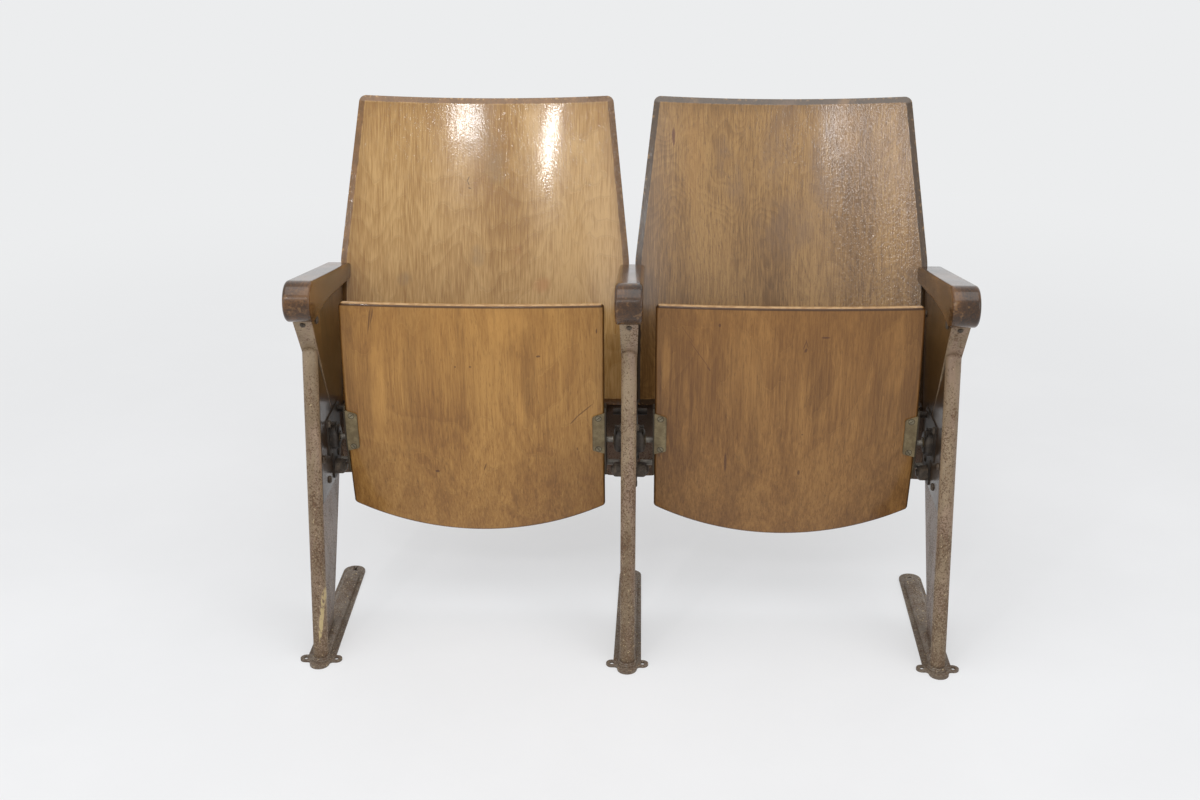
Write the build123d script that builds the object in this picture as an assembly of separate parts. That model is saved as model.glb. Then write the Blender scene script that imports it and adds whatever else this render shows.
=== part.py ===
from build123d import *
import os
from math import asin, cos, degrees, pi, radians, sin, sqrt, tan

# A free-standing pair of tip-up auditorium seats: three steel standards with
# wooden side boards and armrests, two moulded plywood backs, and two plywood
# seats that turn on pins against coil springs.
# Millimetres. X runs along the row, Y from the front feet to the backs, Z up.
# The origin is on the floor, midway between the middle foot's two front holes.

# ---------------------------------------------------------------- the row
SEAT_PITCH = 520.0        # from one standard to the next
STANDARDS = {"left": -SEAT_PITCH, "middle": 0.0, "right": SEAT_PITCH}
SEATS = {"left": -SEAT_PITCH / 2, "right": SEAT_PITCH / 2}

# ---------------------------------------------------------------- front leg
LEG_DIAMETER = 25.0
LEG_WALL = 2.0
LEG_LEAN = 10.9           # degrees back from vertical
LEG_TOP = 531.0           # height of the domed end, on the axis
LEG_DOME = 12.0           # radius that rounds the end over

# ---------------------------------------------------------------- foot
FOOT_REAR = 320.0         # rearmost point of the foot
FOOT_TIP = 30.5           # the tongue reaches this far in front of the leg
FOOT_THICKNESS = 3.5
FOOT_HALF_FRONT = 23.5
FOOT_HALF_REAR = 20.0
TONGUE_RADIUS = 16.5
TONGUE_BLEND = 5.0        # hollow curve from the tongue into each ear
EAR_SPACING = 52.0        # between the two front floor holes
EAR_RADIUS = 9.5
EAR_HOLE_RADIUS = 4.0
REAR_HOLE_RADIUS = 4.5
REAR_HOLE_INSET = 17.0    # rear hole from the rear end
RIDGE_HALF = 14.0         # the ridge wraps the leg's sides by what it is wider
RIDGE_HEIGHT = 15.0       # top of the pressed ridge above the floor
RIDGE_ROUND = 8.5
RIDGE_SHEET = 3.0
RIDGE_REAR_GAP = 31.0     # flat left behind the ridge for the rear hole
SOCKET_RADIUS = 16.0      # low collar that the leg stands in
SOCKET_HEIGHT = 7.0
SOCKET_ROUND = 2.5
SOCKET_FLOOR = 4.0

# ---------------------------------------------------------------- plates
WEB_THICKNESS = 3.0
WEB_MIDDLE = (172.0, 130.0)     # a point on the web's bowed rear edge
WEB_HEEL = 104.0                # where that edge lands on the ridge
STRAP_WIDTH_TOP = 30.0
STRAP_WIDTH_END = 20.0
STRAP_TAPER = 200.0             # length over which the strap narrows
STRAP_THICKNESS = 4.0
CORE_TIP = 40.0                 # cut off the core's tip, clear of the armrest's screw
STRAP_START = (64.2, 588.0)     # front face, under the armrest's nose
STRAP_LEAN = 29.3               # degrees from vertical, running down and back
BOARD_THICKNESS = 9.0
BOARD_BOTTOM = 263.0            # lower edge of the wooden boards
BOARD_REAR_GAP = 4.0            # slit between a board and the back's edge

# ---------------------------------------------------------------- backrest
BACK_LEAN = 20.0
BACK_FOOT = (314.5, 345.0)      # lowest front point, on the centre line
BACK_HEIGHT = 543.0             # along the lean
BACK_THICKNESS = 12.0
BACK_CURVE = 680.0              # plan radius of the front face
BACK_HALF_TOP = 223.5
BACK_HALF_BOTTOM = 254.5
BACK_SHOULDER = 255.0           # where the sides start to draw in
BACK_SHOULDER_ROUND = 160.0
BACK_BEVEL_WIDTH = 11.0         # of the bevel round the front face
BACK_BEVEL_DEPTH = 5.0
BACK_CORNER = BACK_BEVEL_WIDTH + 2.0
UPRIGHT_THICKNESS = 4.0
UPRIGHT_CLEARANCE = 1.5         # its edge stays this far short of the seat's edge
RIM_WIDTH = 10.0                # joggled rim that closes the slit beside the seat
RIM_SET_BACK = 9.0              # behind the wing, clear of the swinging seat
RIM_SHEET = 3.0
UPRIGHT_BELOW = 126.0           # how far it runs on below the back
UPRIGHT_ABOVE = 234.0           # how far it runs up behind the back

# ---------------------------------------------------------------- armrest
ARM_WIDTH = 44.5
ARM_NOSE = (66.0, 621.0)        # centre of the rounded nose
ARM_NOSE_RADIUS = 33.0
ARM_SLOPE = 12.1                # degrees down towards the back
ARM_MIDDLE_UNDER = (150.0, 588.6)
ARM_BEND_UNDER = (235.0, 580.0)
ARM_REAR_THICKNESS = 27.5
ARM_EDGE_ROUND = 5.5

# ---------------------------------------------------------------- seat panel
SEAT_HALF_WIDTH = 218.0
SEAT_THICKNESS = 12.0
SEAT_TOP = 592.0                # upper edge of the folded seat
SEAT_CORNER_BOTTOM = 219.0      # lower side corners of the folded seat
SEAT_TAIL = 53.0                # how much lower the middle of the rear edge is
SEAT_CURVE = 1110.0             # side-view radius of the underside
SEAT_CURVE_HEIGHT = 458.0       # height of that curve's foremost point
SEAT_FRONT = 136.0              # foremost point of the underside at the sides
SEAT_DISH = 2380.0              # plan radius of the underside
SEAT_CORNER_ROUND = 8.0
SEAT_EDGE_ROUND = 4.0

# ---------------------------------------------------------------- hinge
PIVOT_Y = 158.0
PIVOT_Z = 346.0
PIN_RADIUS = 5.0
PIN_CLEARANCE = 0.05
PIN_TIP_GAP = 1.5               # pin's end from the bracket's base plate
PIN_SLOT = 2.2
PIN_SLOT_DEPTH = 2.8
BUSH_RADIUS = 7.5
BUSH_LENGTH = 6.0
BUSH_RIM = 1.5
BUSH_RIM_RADIUS = 9.5
BRACKET_PLATE = 2.5
CUP_RADIUS = 22.0
CUP_HEIGHT = 13.0
CUP_CAVITY = 15.0               # radius of the room for the spring
CUP_WALL = 2.0
CUP_ROUND = 8.0
BRACKET_FRONT = 127.0
BRACKET_TOP = 388.0
BRACKET_NECK = 320.0
BRACKET_LOWER_FRONT = 152.0
BRACKET_BOTTOM = 267.0
BRACKET_LOWER_REAR = 196.0
BRACKET_CORNER = 7.0
BRACKET_MARGIN = 1.5            # plate left behind the open lug
HINGE_BOLTS = [(136.0, 378.0), (190.0, 328.0), (190.0, 302.0)]

SEAT_PLATE_THICKNESS = 3.0
SEAT_PLATE_WIDTH = 20.0
SEAT_PLATE_ABOVE = 58.0         # seat plate above the pivot
SEAT_PLATE_BELOW = 20.0
SEAT_PLATE_SLANT = 7.0          # how much each end falls short at its inner side
SEAT_PLATE_CORNER = 4.5
SEAT_SCREW_INSET = 10.0
CHEEK_ABOVE = 66.0              # cheek above the pivot
CHEEK_BELOW = 62.0
CHEEK_LOBE = 13.0
TAIL_RADIUS = 8.5

SPRING_WIRE = 1.8
SPRING_RADIUS = 12.4
SPRING_PITCH = 2.5
SPRING_TURNS = 3
SPRING_BEND = 3.2
SPRING_LEG = 33.0
POST_RADIUS = 2.5
NOTCH_GAP = 0.8

BUFFER_RADIUS = 13.0
BUFFER_LENGTH = 16.0
BUFFER_BOLT_RADIUS = 4.0
BUFFER_ROUND = 6.0
BUFFER_OFFSET = (10.0, -61.0)   # fold stop from the pivot
STOP_PIN_RADIUS = 5.0
STOP_PIN_LENGTH = 21.0
STOP_GAP = 0.4
OPEN_LUG_RADIUS = 6.0
SEAT_OPENING = 80.0             # degrees from folded to open

# ---------------------------------------------------------------- fasteners
PANEL_BOLT_RADIUS = 3.0
DOME_RADIUS = 6.5
DOME_HEIGHT = 3.5
FRONT_BOARD_BOLTS = [(88.0, 334.0), (120.0, 282.0)]
REAR_BOARD_BOLTS = [(118.0, 571.0), (305.4, 523.9)]
WOOD_SCREW_RADIUS = 2.2
WOOD_SCREW_HEAD = 4.6
WOOD_SCREW_SUNK = 2.2
WOOD_SCREW_LENGTH = 11.0
SCREW_SLOT = 1.0
ARM_SCREW_LENGTH = 26.0
ARM_SCREW_DROP = 9.0            # strap screw below the armrest
BACK_SCREW_HEIGHTS = [32.0, 122.0, 212.0]
BACK_SCREW_REACH = 32.0         # from the standard's middle
BACK_SCREW_BITE = 9.0
SCREW_TURN = 35.0               # degrees that the slots stand askew

EPS = 0.01


# ================================================================ helpers
def side_plate(outline, x_low, x_high):
    """Extrude an outline drawn as (Y, Z) from one X station to another."""
    return extrude(Plane.YZ.offset(x_low) * outline, amount=x_high - x_low)


def polygon(*points):
    return make_face(Polyline(*points, close=True))


def rounded_polygon(radius, *points):
    face = polygon(*points)
    return fillet(face.vertices(), radius)


def x_cylinder(radius, x_low, x_high, y, z):
    return side_plate(Pos(y, z) * Circle(radius), min(x_low, x_high), max(x_low, x_high))


def along(start, direction, distance):
    return (start[0] + direction[0] * distance, start[1] + direction[1] * distance)


def neighbours(x):
    """Each seat beside a standard, with +1 if it lies towards +X."""
    for seat_x in SEATS.values():
        if abs(seat_x - x) < SEAT_PITCH:
            yield seat_x, 1 if seat_x > x else -1


PARTS = {}


def keep(name, *pieces):
    solids = [solid for piece in pieces for solid in piece.solids()]
    PARTS[name] = solids[0] if len(solids) == 1 else Compound(children=solids)


# ================================================================ shared geometry
LEG_AXIS = (sin(radians(LEG_LEAN)), cos(radians(LEG_LEAN)))
LEG_RADIUS = LEG_DIAMETER / 2
STRAP_DOWN = (sin(radians(STRAP_LEAN)), -cos(radians(STRAP_LEAN)))
STRAP_BACK = (cos(radians(STRAP_LEAN)), sin(radians(STRAP_LEAN)))
BACK_UP = (sin(radians(BACK_LEAN)), cos(radians(BACK_LEAN)))
BACK_REARWARD = (cos(radians(BACK_LEAN)), -sin(radians(BACK_LEAN)))
ARM_BACKWARD = (cos(radians(ARM_SLOPE)), -sin(radians(ARM_SLOPE)))
ARM_NORMAL = (sin(radians(ARM_SLOPE)), cos(radians(ARM_SLOPE)))
BOARD_FACE = WEB_THICKNESS / 2 + BOARD_THICKNESS
STANDARD_EDGE = SEAT_PITCH / 2 - SEAT_HALF_WIDTH     # standard's middle to a seat's edge
UPRIGHT_REACH = STANDARD_EDGE - UPRIGHT_CLEARANCE    # standard's middle to a wing's edge
REACH = 900.0             # longer than anything it has to pass


def sagitta(radius, half_chord):
    return radius - sqrt(radius**2 - half_chord**2)


def back_line(offset, height):
    """A point (Y, Z) beside the standards, offset behind the back's front face."""
    depth = offset - sagitta(BACK_CURVE, SEAT_PITCH / 2)
    return along(along(BACK_FOOT, BACK_UP, height), BACK_REARWARD, depth)


# The backs' edges stand proud of the line where the two of them would meet.
BACK_EDGE_DEPTH = sagitta(BACK_CURVE, SEAT_PITCH / 2) - sagitta(BACK_CURVE, BACK_HALF_BOTTOM)
UPRIGHT_DEPTH = (
    sagitta(BACK_CURVE, SEAT_PITCH / 2)
    - sagitta(BACK_CURVE + BACK_THICKNESS, SEAT_PITCH / 2)
    + BACK_THICKNESS
)


def back_plane(seat_x, height=0.0):
    foot_y, foot_z = along(BACK_FOOT, BACK_UP, height)
    return Plane(
        origin=(seat_x, foot_y, foot_z),
        x_dir=(1, 0, 0),
        z_dir=(0, BACK_UP[0], BACK_UP[1]),
    )


def curved_sheet(inner, outer, x_low, x_high):
    """A strip of a ring about the back's centre of curvature, as a sketch."""
    ring = Pos(0, -BACK_CURVE) * (Circle(outer) - Circle(inner))
    window = Pos((x_low + x_high) / 2, -BACK_CURVE + outer) * Rectangle(
        x_high - x_low, outer
    )
    return ring & window


# ================================================================ front leg
def leg_envelope(top=LEG_TOP):
    """The tube's outer form, from below the floor to its domed end."""
    length = top / cos(radians(LEG_LEAN)) + LEG_RADIUS
    rod = Pos(0, 0, -LEG_RADIUS) * Cylinder(
        LEG_RADIUS, length, align=(Align.CENTER, Align.CENTER, Align.MIN)
    )
    rod = fillet(rod.edges().sort_by(Axis.Z)[-1], LEG_DOME)
    return Rot(-LEG_LEAN, 0, 0) * rod


def behind_strap(x):
    """Everything behind the strap's front face, near its upper end."""
    start = along(STRAP_START, STRAP_DOWN, -200)
    end = along(STRAP_START, STRAP_DOWN, 300)
    outline = polygon(start, end, along(end, STRAP_BACK, 200), along(start, STRAP_BACK, 200))
    return side_plate(outline, x - ARM_WIDTH, x + ARM_WIDTH)


def leg_tube(x):
    bore_length = LEG_TOP / cos(radians(LEG_LEAN)) - LEG_DOME
    bore = Rot(-LEG_LEAN, 0, 0) * Cylinder(
        LEG_RADIUS - LEG_WALL, bore_length, align=(Align.CENTER, Align.CENTER, Align.MIN)
    )
    below = Pos(0, 0, SOCKET_FLOOR) * Box(
        REACH, REACH, REACH, align=(Align.CENTER, Align.CENTER, Align.MAX)
    )
    tube = leg_envelope() - bore - below
    return Pos(x, 0, 0) * tube - behind_strap(x)


# ================================================================ foot
def foot(x):
    ear_x = EAR_SPACING / 2
    rear_centre = FOOT_REAR - FOOT_HALF_REAR
    body = polygon(
        (-FOOT_HALF_FRONT, 0),
        (FOOT_HALF_FRONT, 0),
        (FOOT_HALF_REAR, rear_centre),
        (-FOOT_HALF_REAR, rear_centre),
    )
    plan = body + Pos(0, rear_centre) * Circle(FOOT_HALF_REAR)
    plan += Rectangle(EAR_SPACING, 2 * EAR_RADIUS)
    for side in (-1, 1):
        plan += Pos(side * ear_x, 0) * Circle(EAR_RADIUS)
    plan += Pos(0, TONGUE_RADIUS - FOOT_TIP) * Circle(TONGUE_RADIUS)
    hollows = [
        corner
        for corner in plan.vertices()
        if abs(corner.Y + EAR_RADIUS) < EPS and abs(corner.X) < ear_x - EPS
    ]
    plan = fillet(hollows, TONGUE_BLEND)
    plate = extrude(plan, amount=FOOT_THICKNESS)

    ridge_end = FOOT_REAR - RIDGE_REAR_GAP - RIDGE_HALF

    def pressed(half, top, round_over, front):
        plan_form = Pos(0, front + (ridge_end - front) / 2) * Rectangle(2 * half, ridge_end - front)
        plan_form += Pos(0, ridge_end) * Circle(half)
        block = extrude(plan_form, amount=top)
        return fillet(block.edges().group_by(Axis.Z)[-1], round_over)

    ridge = pressed(RIDGE_HALF, RIDGE_HEIGHT, RIDGE_ROUND, 0)
    hollow = pressed(
        RIDGE_HALF - RIDGE_SHEET,
        RIDGE_HEIGHT - RIDGE_SHEET,
        RIDGE_ROUND - RIDGE_SHEET,
        SOCKET_RADIUS + RIDGE_SHEET,
    )
    socket = Cylinder(
        SOCKET_RADIUS, SOCKET_HEIGHT, align=(Align.CENTER, Align.CENTER, Align.MIN)
    )
    socket = fillet(socket.edges().group_by(Axis.Z)[-1], SOCKET_ROUND)
    form = plate + ridge + socket - hollow
    above_floor = Pos(0, 0, SOCKET_FLOOR) * Box(
        REACH, REACH, REACH, align=(Align.CENTER, Align.CENTER, Align.MIN)
    )
    form -= leg_envelope() & above_floor
    holes = [(-ear_x, 0, EAR_HOLE_RADIUS), (ear_x, 0, EAR_HOLE_RADIUS)]
    holes.append((0, FOOT_REAR - REAR_HOLE_INSET, REAR_HOLE_RADIUS))
    for hole_x, hole_y, radius in holes:
        form -= Pos(hole_x, hole_y, 0) * Cylinder(radius, 4 * FOOT_THICKNESS)
    return Pos(x, 0, 0) * form


# ================================================================ standard's plates
def strap_point(distance, depth=0.0):
    return along(along(STRAP_START, STRAP_DOWN, distance), STRAP_BACK, depth)


def meet_upright(start, direction):
    """Where a (Y, Z) line reaches the front of the upright's fold."""
    base = back_line(UPRIGHT_DEPTH, 0)
    gap_y = base[0] - start[0]
    gap_z = base[1] - start[1]
    cross = direction[0] * BACK_UP[1] - direction[1] * BACK_UP[0]
    distance = (gap_y * BACK_UP[1] - gap_z * BACK_UP[0]) / cross
    return along(start, direction, distance)


STRAP_FRONT_END = meet_upright(STRAP_START, STRAP_DOWN)
STRAP_REAR_END = meet_upright(strap_point(0, STRAP_THICKNESS), STRAP_DOWN)
UPRIGHT_FOOT = back_line(UPRIGHT_DEPTH, -UPRIGHT_BELOW)


def leg_rear(height):
    """A point on the leg's rear side at a given height."""
    return (height * tan(radians(LEG_LEAN)) + LEG_RADIUS / LEG_AXIS[1], height)


def strap_leg_corner():
    """Where the leg's rear side runs into the strap's front face."""
    slope_leg = tan(radians(LEG_LEAN))
    slope_strap = -tan(radians(STRAP_LEAN))
    base_strap = STRAP_START[0] - slope_strap * STRAP_START[1]
    return leg_rear((base_strap - LEG_RADIUS / LEG_AXIS[1]) / (slope_leg - slope_strap))


def web_plate(x):
    corner = strap_leg_corner()
    heel = (WEB_HEEL, RIDGE_HEIGHT)
    toe = leg_rear(RIDGE_HEIGHT)
    edge = Polyline(toe, corner, STRAP_FRONT_END, UPRIGHT_FOOT)
    edge += ThreePointArc(UPRIGHT_FOOT, WEB_MIDDLE, heel)
    edge += Line(heel, toe)
    return side_plate(make_face(edge), x - WEB_THICKNESS / 2, x + WEB_THICKNESS / 2)


def core_plate(x):
    """The web's upper half, between the strap, the armrest and the upright."""
    outline = polygon(
        strap_point(CORE_TIP, STRAP_THICKNESS),
        (ARM_NOSE[0] + CORE_TIP, STRAP_START[1]),
        ARM_MIDDLE_UNDER,
        ARM_BEND_UNDER,
        meet_upright(ARM_BEND_UNDER, (1, 0)),
        STRAP_REAR_END,
    )
    plate = side_plate(outline, x - WEB_THICKNESS / 2, x + WEB_THICKNESS / 2)
    return plate - arm_form(x)


def strap(x):
    blade = side_plate(
        polygon(
            STRAP_START,
            (STRAP_START[0] + STRAP_THICKNESS / STRAP_BACK[0], STRAP_START[1]),
            STRAP_REAR_END,
            STRAP_FRONT_END,
        ),
        x - STRAP_WIDTH_TOP,
        x + STRAP_WIDTH_TOP,
    )
    face_plane = Plane(
        origin=(x, STRAP_START[0], STRAP_START[1]),
        x_dir=(1, 0, 0),
        z_dir=(0, -STRAP_BACK[0], -STRAP_BACK[1]),
    )
    half_top = STRAP_WIDTH_TOP / 2
    half_end = STRAP_WIDTH_END / 2
    face = polygon(
        (-half_top, STRAP_TAPER),
        (half_top, STRAP_TAPER),
        (half_top, 0),
        (half_end, -STRAP_TAPER),
        (half_end, -REACH),
        (-half_end, -REACH),
        (-half_end, -STRAP_TAPER),
        (-half_top, 0),
    )
    return blade & extrude(face_plane * face, amount=STRAP_TAPER, both=True)


def upright(x):
    """A folded steel upright: wings flat on the backs' rear faces, each with a joggled rim."""
    folds = []
    inner = BACK_CURVE + BACK_THICKNESS
    rear = inner + RIM_SET_BACK
    for seat_x, side in neighbours(x):
        middle = x - seat_x
        edge = middle + side * UPRIGHT_REACH
        joggle = edge - side * RIM_SHEET
        rim = edge + side * RIM_WIDTH
        for front, back, start, end in (
            (inner, inner + UPRIGHT_THICKNESS, middle, edge),
            (inner, rear + RIM_SHEET, joggle, edge),
            (rear, rear + RIM_SHEET, joggle, rim),
        ):
            strip = curved_sheet(front, back, min(start, end), max(start, end))
            folds.append(
                extrude(
                    back_plane(seat_x, -UPRIGHT_BELOW) * strip,
                    amount=UPRIGHT_BELOW + UPRIGHT_ABOVE,
                )
            )
    return sum(folds[1:], folds[0])


# ================================================================ wooden boards
def board_rear(distance_up):
    return back_line(BACK_EDGE_DEPTH - BOARD_REAR_GAP, distance_up)


def meet_board_rear(start, direction):
    base = board_rear(0)
    cross = direction[0] * BACK_UP[1] - direction[1] * BACK_UP[0]
    gap_y = base[0] - start[0]
    gap_z = base[1] - start[1]
    return along(start, direction, (gap_y * BACK_UP[1] - gap_z * BACK_UP[0]) / cross)


def both_boards(outline, x):
    inner = WEB_THICKNESS / 2
    left = side_plate(outline, x - BOARD_FACE, x - inner)
    right = side_plate(outline, x + inner, x + BOARD_FACE)
    return [left, right]


def front_boards(x):
    """Two boards on the web, between the leg, the strap and the lower edge."""
    corner = strap_leg_corner()
    rear_top = meet_board_rear(STRAP_START, STRAP_DOWN)
    rear_low = meet_board_rear((0, BOARD_BOTTOM), (1, 0))
    outline = polygon(leg_rear(BOARD_BOTTOM), corner, rear_top, rear_low)
    leg = Pos(x, 0, 0) * leg_envelope()
    return [board - leg for board in both_boards(outline, x)]


def rear_boards(x):
    """Two boards on the core plate, cut to the armrest's underside."""
    top_front = (STRAP_START[0] + STRAP_THICKNESS / STRAP_BACK[0], STRAP_START[1])
    strap_back = strap_point(0, STRAP_THICKNESS)
    outline = polygon(
        top_front,
        ARM_MIDDLE_UNDER,
        ARM_BEND_UNDER,
        meet_board_rear(ARM_BEND_UNDER, (1, 0)),
        meet_board_rear(strap_back, STRAP_DOWN),
    )
    return [board - arm_form(x) for board in both_boards(outline, x)]


# ================================================================ armrest
def arm_form(x):
    """The armrest before it is fitted round the backs."""
    crown = along(ARM_NOSE, ARM_NORMAL, ARM_NOSE_RADIUS)
    reach = 300.0
    top_rear = along(crown, ARM_BACKWARD, reach)
    under_rear = along(top_rear, ARM_NORMAL, -ARM_REAR_THICKNESS)
    chin = (ARM_NOSE[0], ARM_NOSE[1] - ARM_NOSE_RADIUS)
    front = (ARM_NOSE[0] - ARM_NOSE_RADIUS, ARM_NOSE[1])
    edge = Line(crown, top_rear)
    edge += Line(top_rear, under_rear)
    edge += Line(under_rear, ARM_BEND_UNDER)
    edge += ThreePointArc(ARM_BEND_UNDER, ARM_MIDDLE_UNDER, chin)
    edge += ThreePointArc(chin, front, crown)
    return side_plate(make_face(edge), x - ARM_WIDTH / 2, x + ARM_WIDTH / 2)


def armrest(x, backs):
    form = arm_form(x)
    rounded = [
        edge
        for edge in form.edges()
        if abs(abs(edge.center().X - x) - ARM_WIDTH / 2) < EPS
        and edge.center().Y < ARM_BEND_UNDER[0]
    ]
    form = fillet(rounded, ARM_EDGE_ROUND)
    form -= side_plate(
        polygon(
            back_line(UPRIGHT_DEPTH, -REACH),
            back_line(UPRIGHT_DEPTH, REACH),
            back_line(REACH, REACH),
            back_line(REACH, -REACH),
        ),
        x - ARM_WIDTH,
        x + ARM_WIDTH,
    )
    for back in backs:
        form -= back
    return form


# ================================================================ backrest
def backrest(seat_x):
    plane = back_plane(seat_x, -BACK_CORNER)
    beyond = 1.2 * BACK_HALF_BOTTOM
    sheet = curved_sheet(BACK_CURVE, BACK_CURVE + BACK_THICKNESS, -beyond, beyond)
    panel = extrude(plane * sheet, amount=1.2 * BACK_HEIGHT)
    outline = polygon(
        (-BACK_HALF_BOTTOM, 0),
        (BACK_HALF_BOTTOM, 0),
        (BACK_HALF_BOTTOM, BACK_SHOULDER),
        (BACK_HALF_TOP, BACK_HEIGHT),
        (-BACK_HALF_TOP, BACK_HEIGHT),
        (-BACK_HALF_BOTTOM, BACK_SHOULDER),
    )
    shoulders = [
        corner for corner in outline.vertices() if abs(corner.Y - BACK_SHOULDER) < EPS
    ]
    outline = fillet(shoulders, BACK_SHOULDER_ROUND)
    corners = outline.vertices().group_by(Axis.Y)
    outline = fillet(corners[0] + corners[-1], BACK_CORNER)
    foot_y, foot_z = BACK_FOOT
    front_plane = Plane(
        origin=(seat_x, foot_y, foot_z),
        x_dir=(1, 0, 0),
        z_dir=(0, -BACK_REARWARD[0], -BACK_REARWARD[1]),
    )
    panel &= extrude(front_plane * outline, amount=BACK_CURVE / 4, both=True)
    front = panel.faces().sort_by(SortBy.AREA)[-1]
    return chamfer(front.edges(), BACK_BEVEL_WIDTH, BACK_BEVEL_DEPTH, reference=front)


# ================================================================ seat
SEAT_DROP = sagitta(SEAT_DISH, SEAT_HALF_WIDTH)     # the dish's depth across the seat
SEAT_AXIS_Y = SEAT_FRONT - SEAT_DROP + SEAT_DISH
SEAT_SPAN = SEAT_TOP - SEAT_CORNER_BOTTOM + 2 * SEAT_TAIL


def dished_sheet(seat_x, inner, outer):
    """A doubly curved sheet between two skins in front of the underside."""
    ring = Circle(SEAT_CURVE + outer) - Circle(SEAT_CURVE + inner)
    strip = ring & (Pos(-SEAT_CURVE, 0) * Rectangle(SEAT_CURVE / 2, 2 * SEAT_SPAN))
    section = Pos(SEAT_FRONT - SEAT_DROP + SEAT_CURVE, SEAT_CURVE_HEIGHT) * strip
    half_angle = degrees(asin(1.2 * SEAT_HALF_WIDTH / SEAT_DISH))
    swing = Pos(seat_x, SEAT_AXIS_Y) * Rot(0, 0, -half_angle) * Pos(-seat_x, -SEAT_AXIS_Y)
    face = swing * (Plane.YZ.offset(seat_x) * section)
    axis = Axis((seat_x, SEAT_AXIS_Y, 0), (0, 0, 1))
    return revolve(face, axis, revolution_arc=2 * half_angle)


def seat_spot(seat_x, x, z, skin):
    """A plane on the underside, skin mm in front of it, facing outwards."""
    rise = asin((z - SEAT_CURVE_HEIGHT) / (SEAT_CURVE + skin))
    reach = SEAT_DISH - SEAT_CURVE + (SEAT_CURVE + skin) * cos(rise)
    swing = asin(x / reach)
    return Plane(
        origin=(seat_x + x, SEAT_AXIS_Y - reach * cos(swing), z),
        z_dir=(sin(swing) * cos(rise), -cos(swing) * cos(rise), sin(rise)),
    )


def front_window(face, seat_x):
    """A front-view outline (X, Z) as a prism that runs through the seat."""
    plane = Plane(origin=(seat_x, SEAT_FRONT, 0), x_dir=(1, 0, 0), z_dir=(0, -1, 0))
    return extrude(plane * face, amount=REACH / 4, both=True)


def seat_outline():
    half = SEAT_HALF_WIDTH
    low = SEAT_CORNER_BOTTOM
    edge = Polyline((-half, low), (-half, SEAT_TOP), (half, SEAT_TOP), (half, low))
    edge += ThreePointArc((half, low), (0, low - SEAT_TAIL), (-half, low))
    face = make_face(edge)
    return fillet(face.vertices(), SEAT_CORNER_ROUND)


def seat_panel(seat_x):
    panel = dished_sheet(seat_x, -SEAT_THICKNESS, 0)
    panel &= front_window(seat_outline(), seat_x)
    edges = [edge for skin in panel.faces().sort_by(SortBy.AREA)[-2:] for edge in skin.edges()]
    return fillet(edges, SEAT_EDGE_ROUND)


# ================================================================ hinge, standard's side
CUP_TOP = BOARD_FACE + BRACKET_PLATE + CUP_HEIGHT
PIN_END = BOARD_FACE + BRACKET_PLATE + PIN_TIP_GAP
SPRING_LOW = PIN_END + PIN_SLOT_DEPTH / 2
SPRING_START = radians(70)          # where the coil takes over from the inner leg
SPRING_END = SPRING_START - radians(250) - 2 * pi * (SPRING_TURNS - 1)
SPRING_HIGH = SPRING_LOW + SPRING_PITCH * (SPRING_START - SPRING_END) / (2 * pi)


def place(form, x, side):
    """Put a piece drawn on the right of a standard beside the one at x."""
    if side < 0:
        form = mirror(form, Plane.YZ)
    return Pos(x, 0, 0) * form


def turn(offset, angle):
    """An offset from the pivot, turned about it by degrees of opening."""
    c = cos(radians(angle))
    s = sin(radians(angle))
    return (offset[0] * c - offset[1] * s, offset[0] * s + offset[1] * c)


def clear_of(offset, apart):
    """The offset turned until it lies apart mm from where it was."""
    radius = sqrt(offset[0] ** 2 + offset[1] ** 2)
    return turn(offset, degrees(2 * asin(apart / 2 / radius)))


STOP_PIN = clear_of(BUFFER_OFFSET, BUFFER_RADIUS + STOP_PIN_RADIUS + STOP_GAP)
OPEN_LUG = clear_of(
    turn(STOP_PIN, SEAT_OPENING), OPEN_LUG_RADIUS + STOP_PIN_RADIUS + STOP_GAP
)


def from_pivot(offset):
    return (PIVOT_Y + offset[0], PIVOT_Z + offset[1])


def pivot_cylinder(radius, x_low, x_high, offset=(0, 0)):
    y, z = from_pivot(offset)
    return x_cylinder(radius, x_low, x_high, y, z)


def outer_rim(form):
    return form.edges().filter_by(GeomType.CIRCLE).sort_by(Axis.X)[-1]


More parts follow.
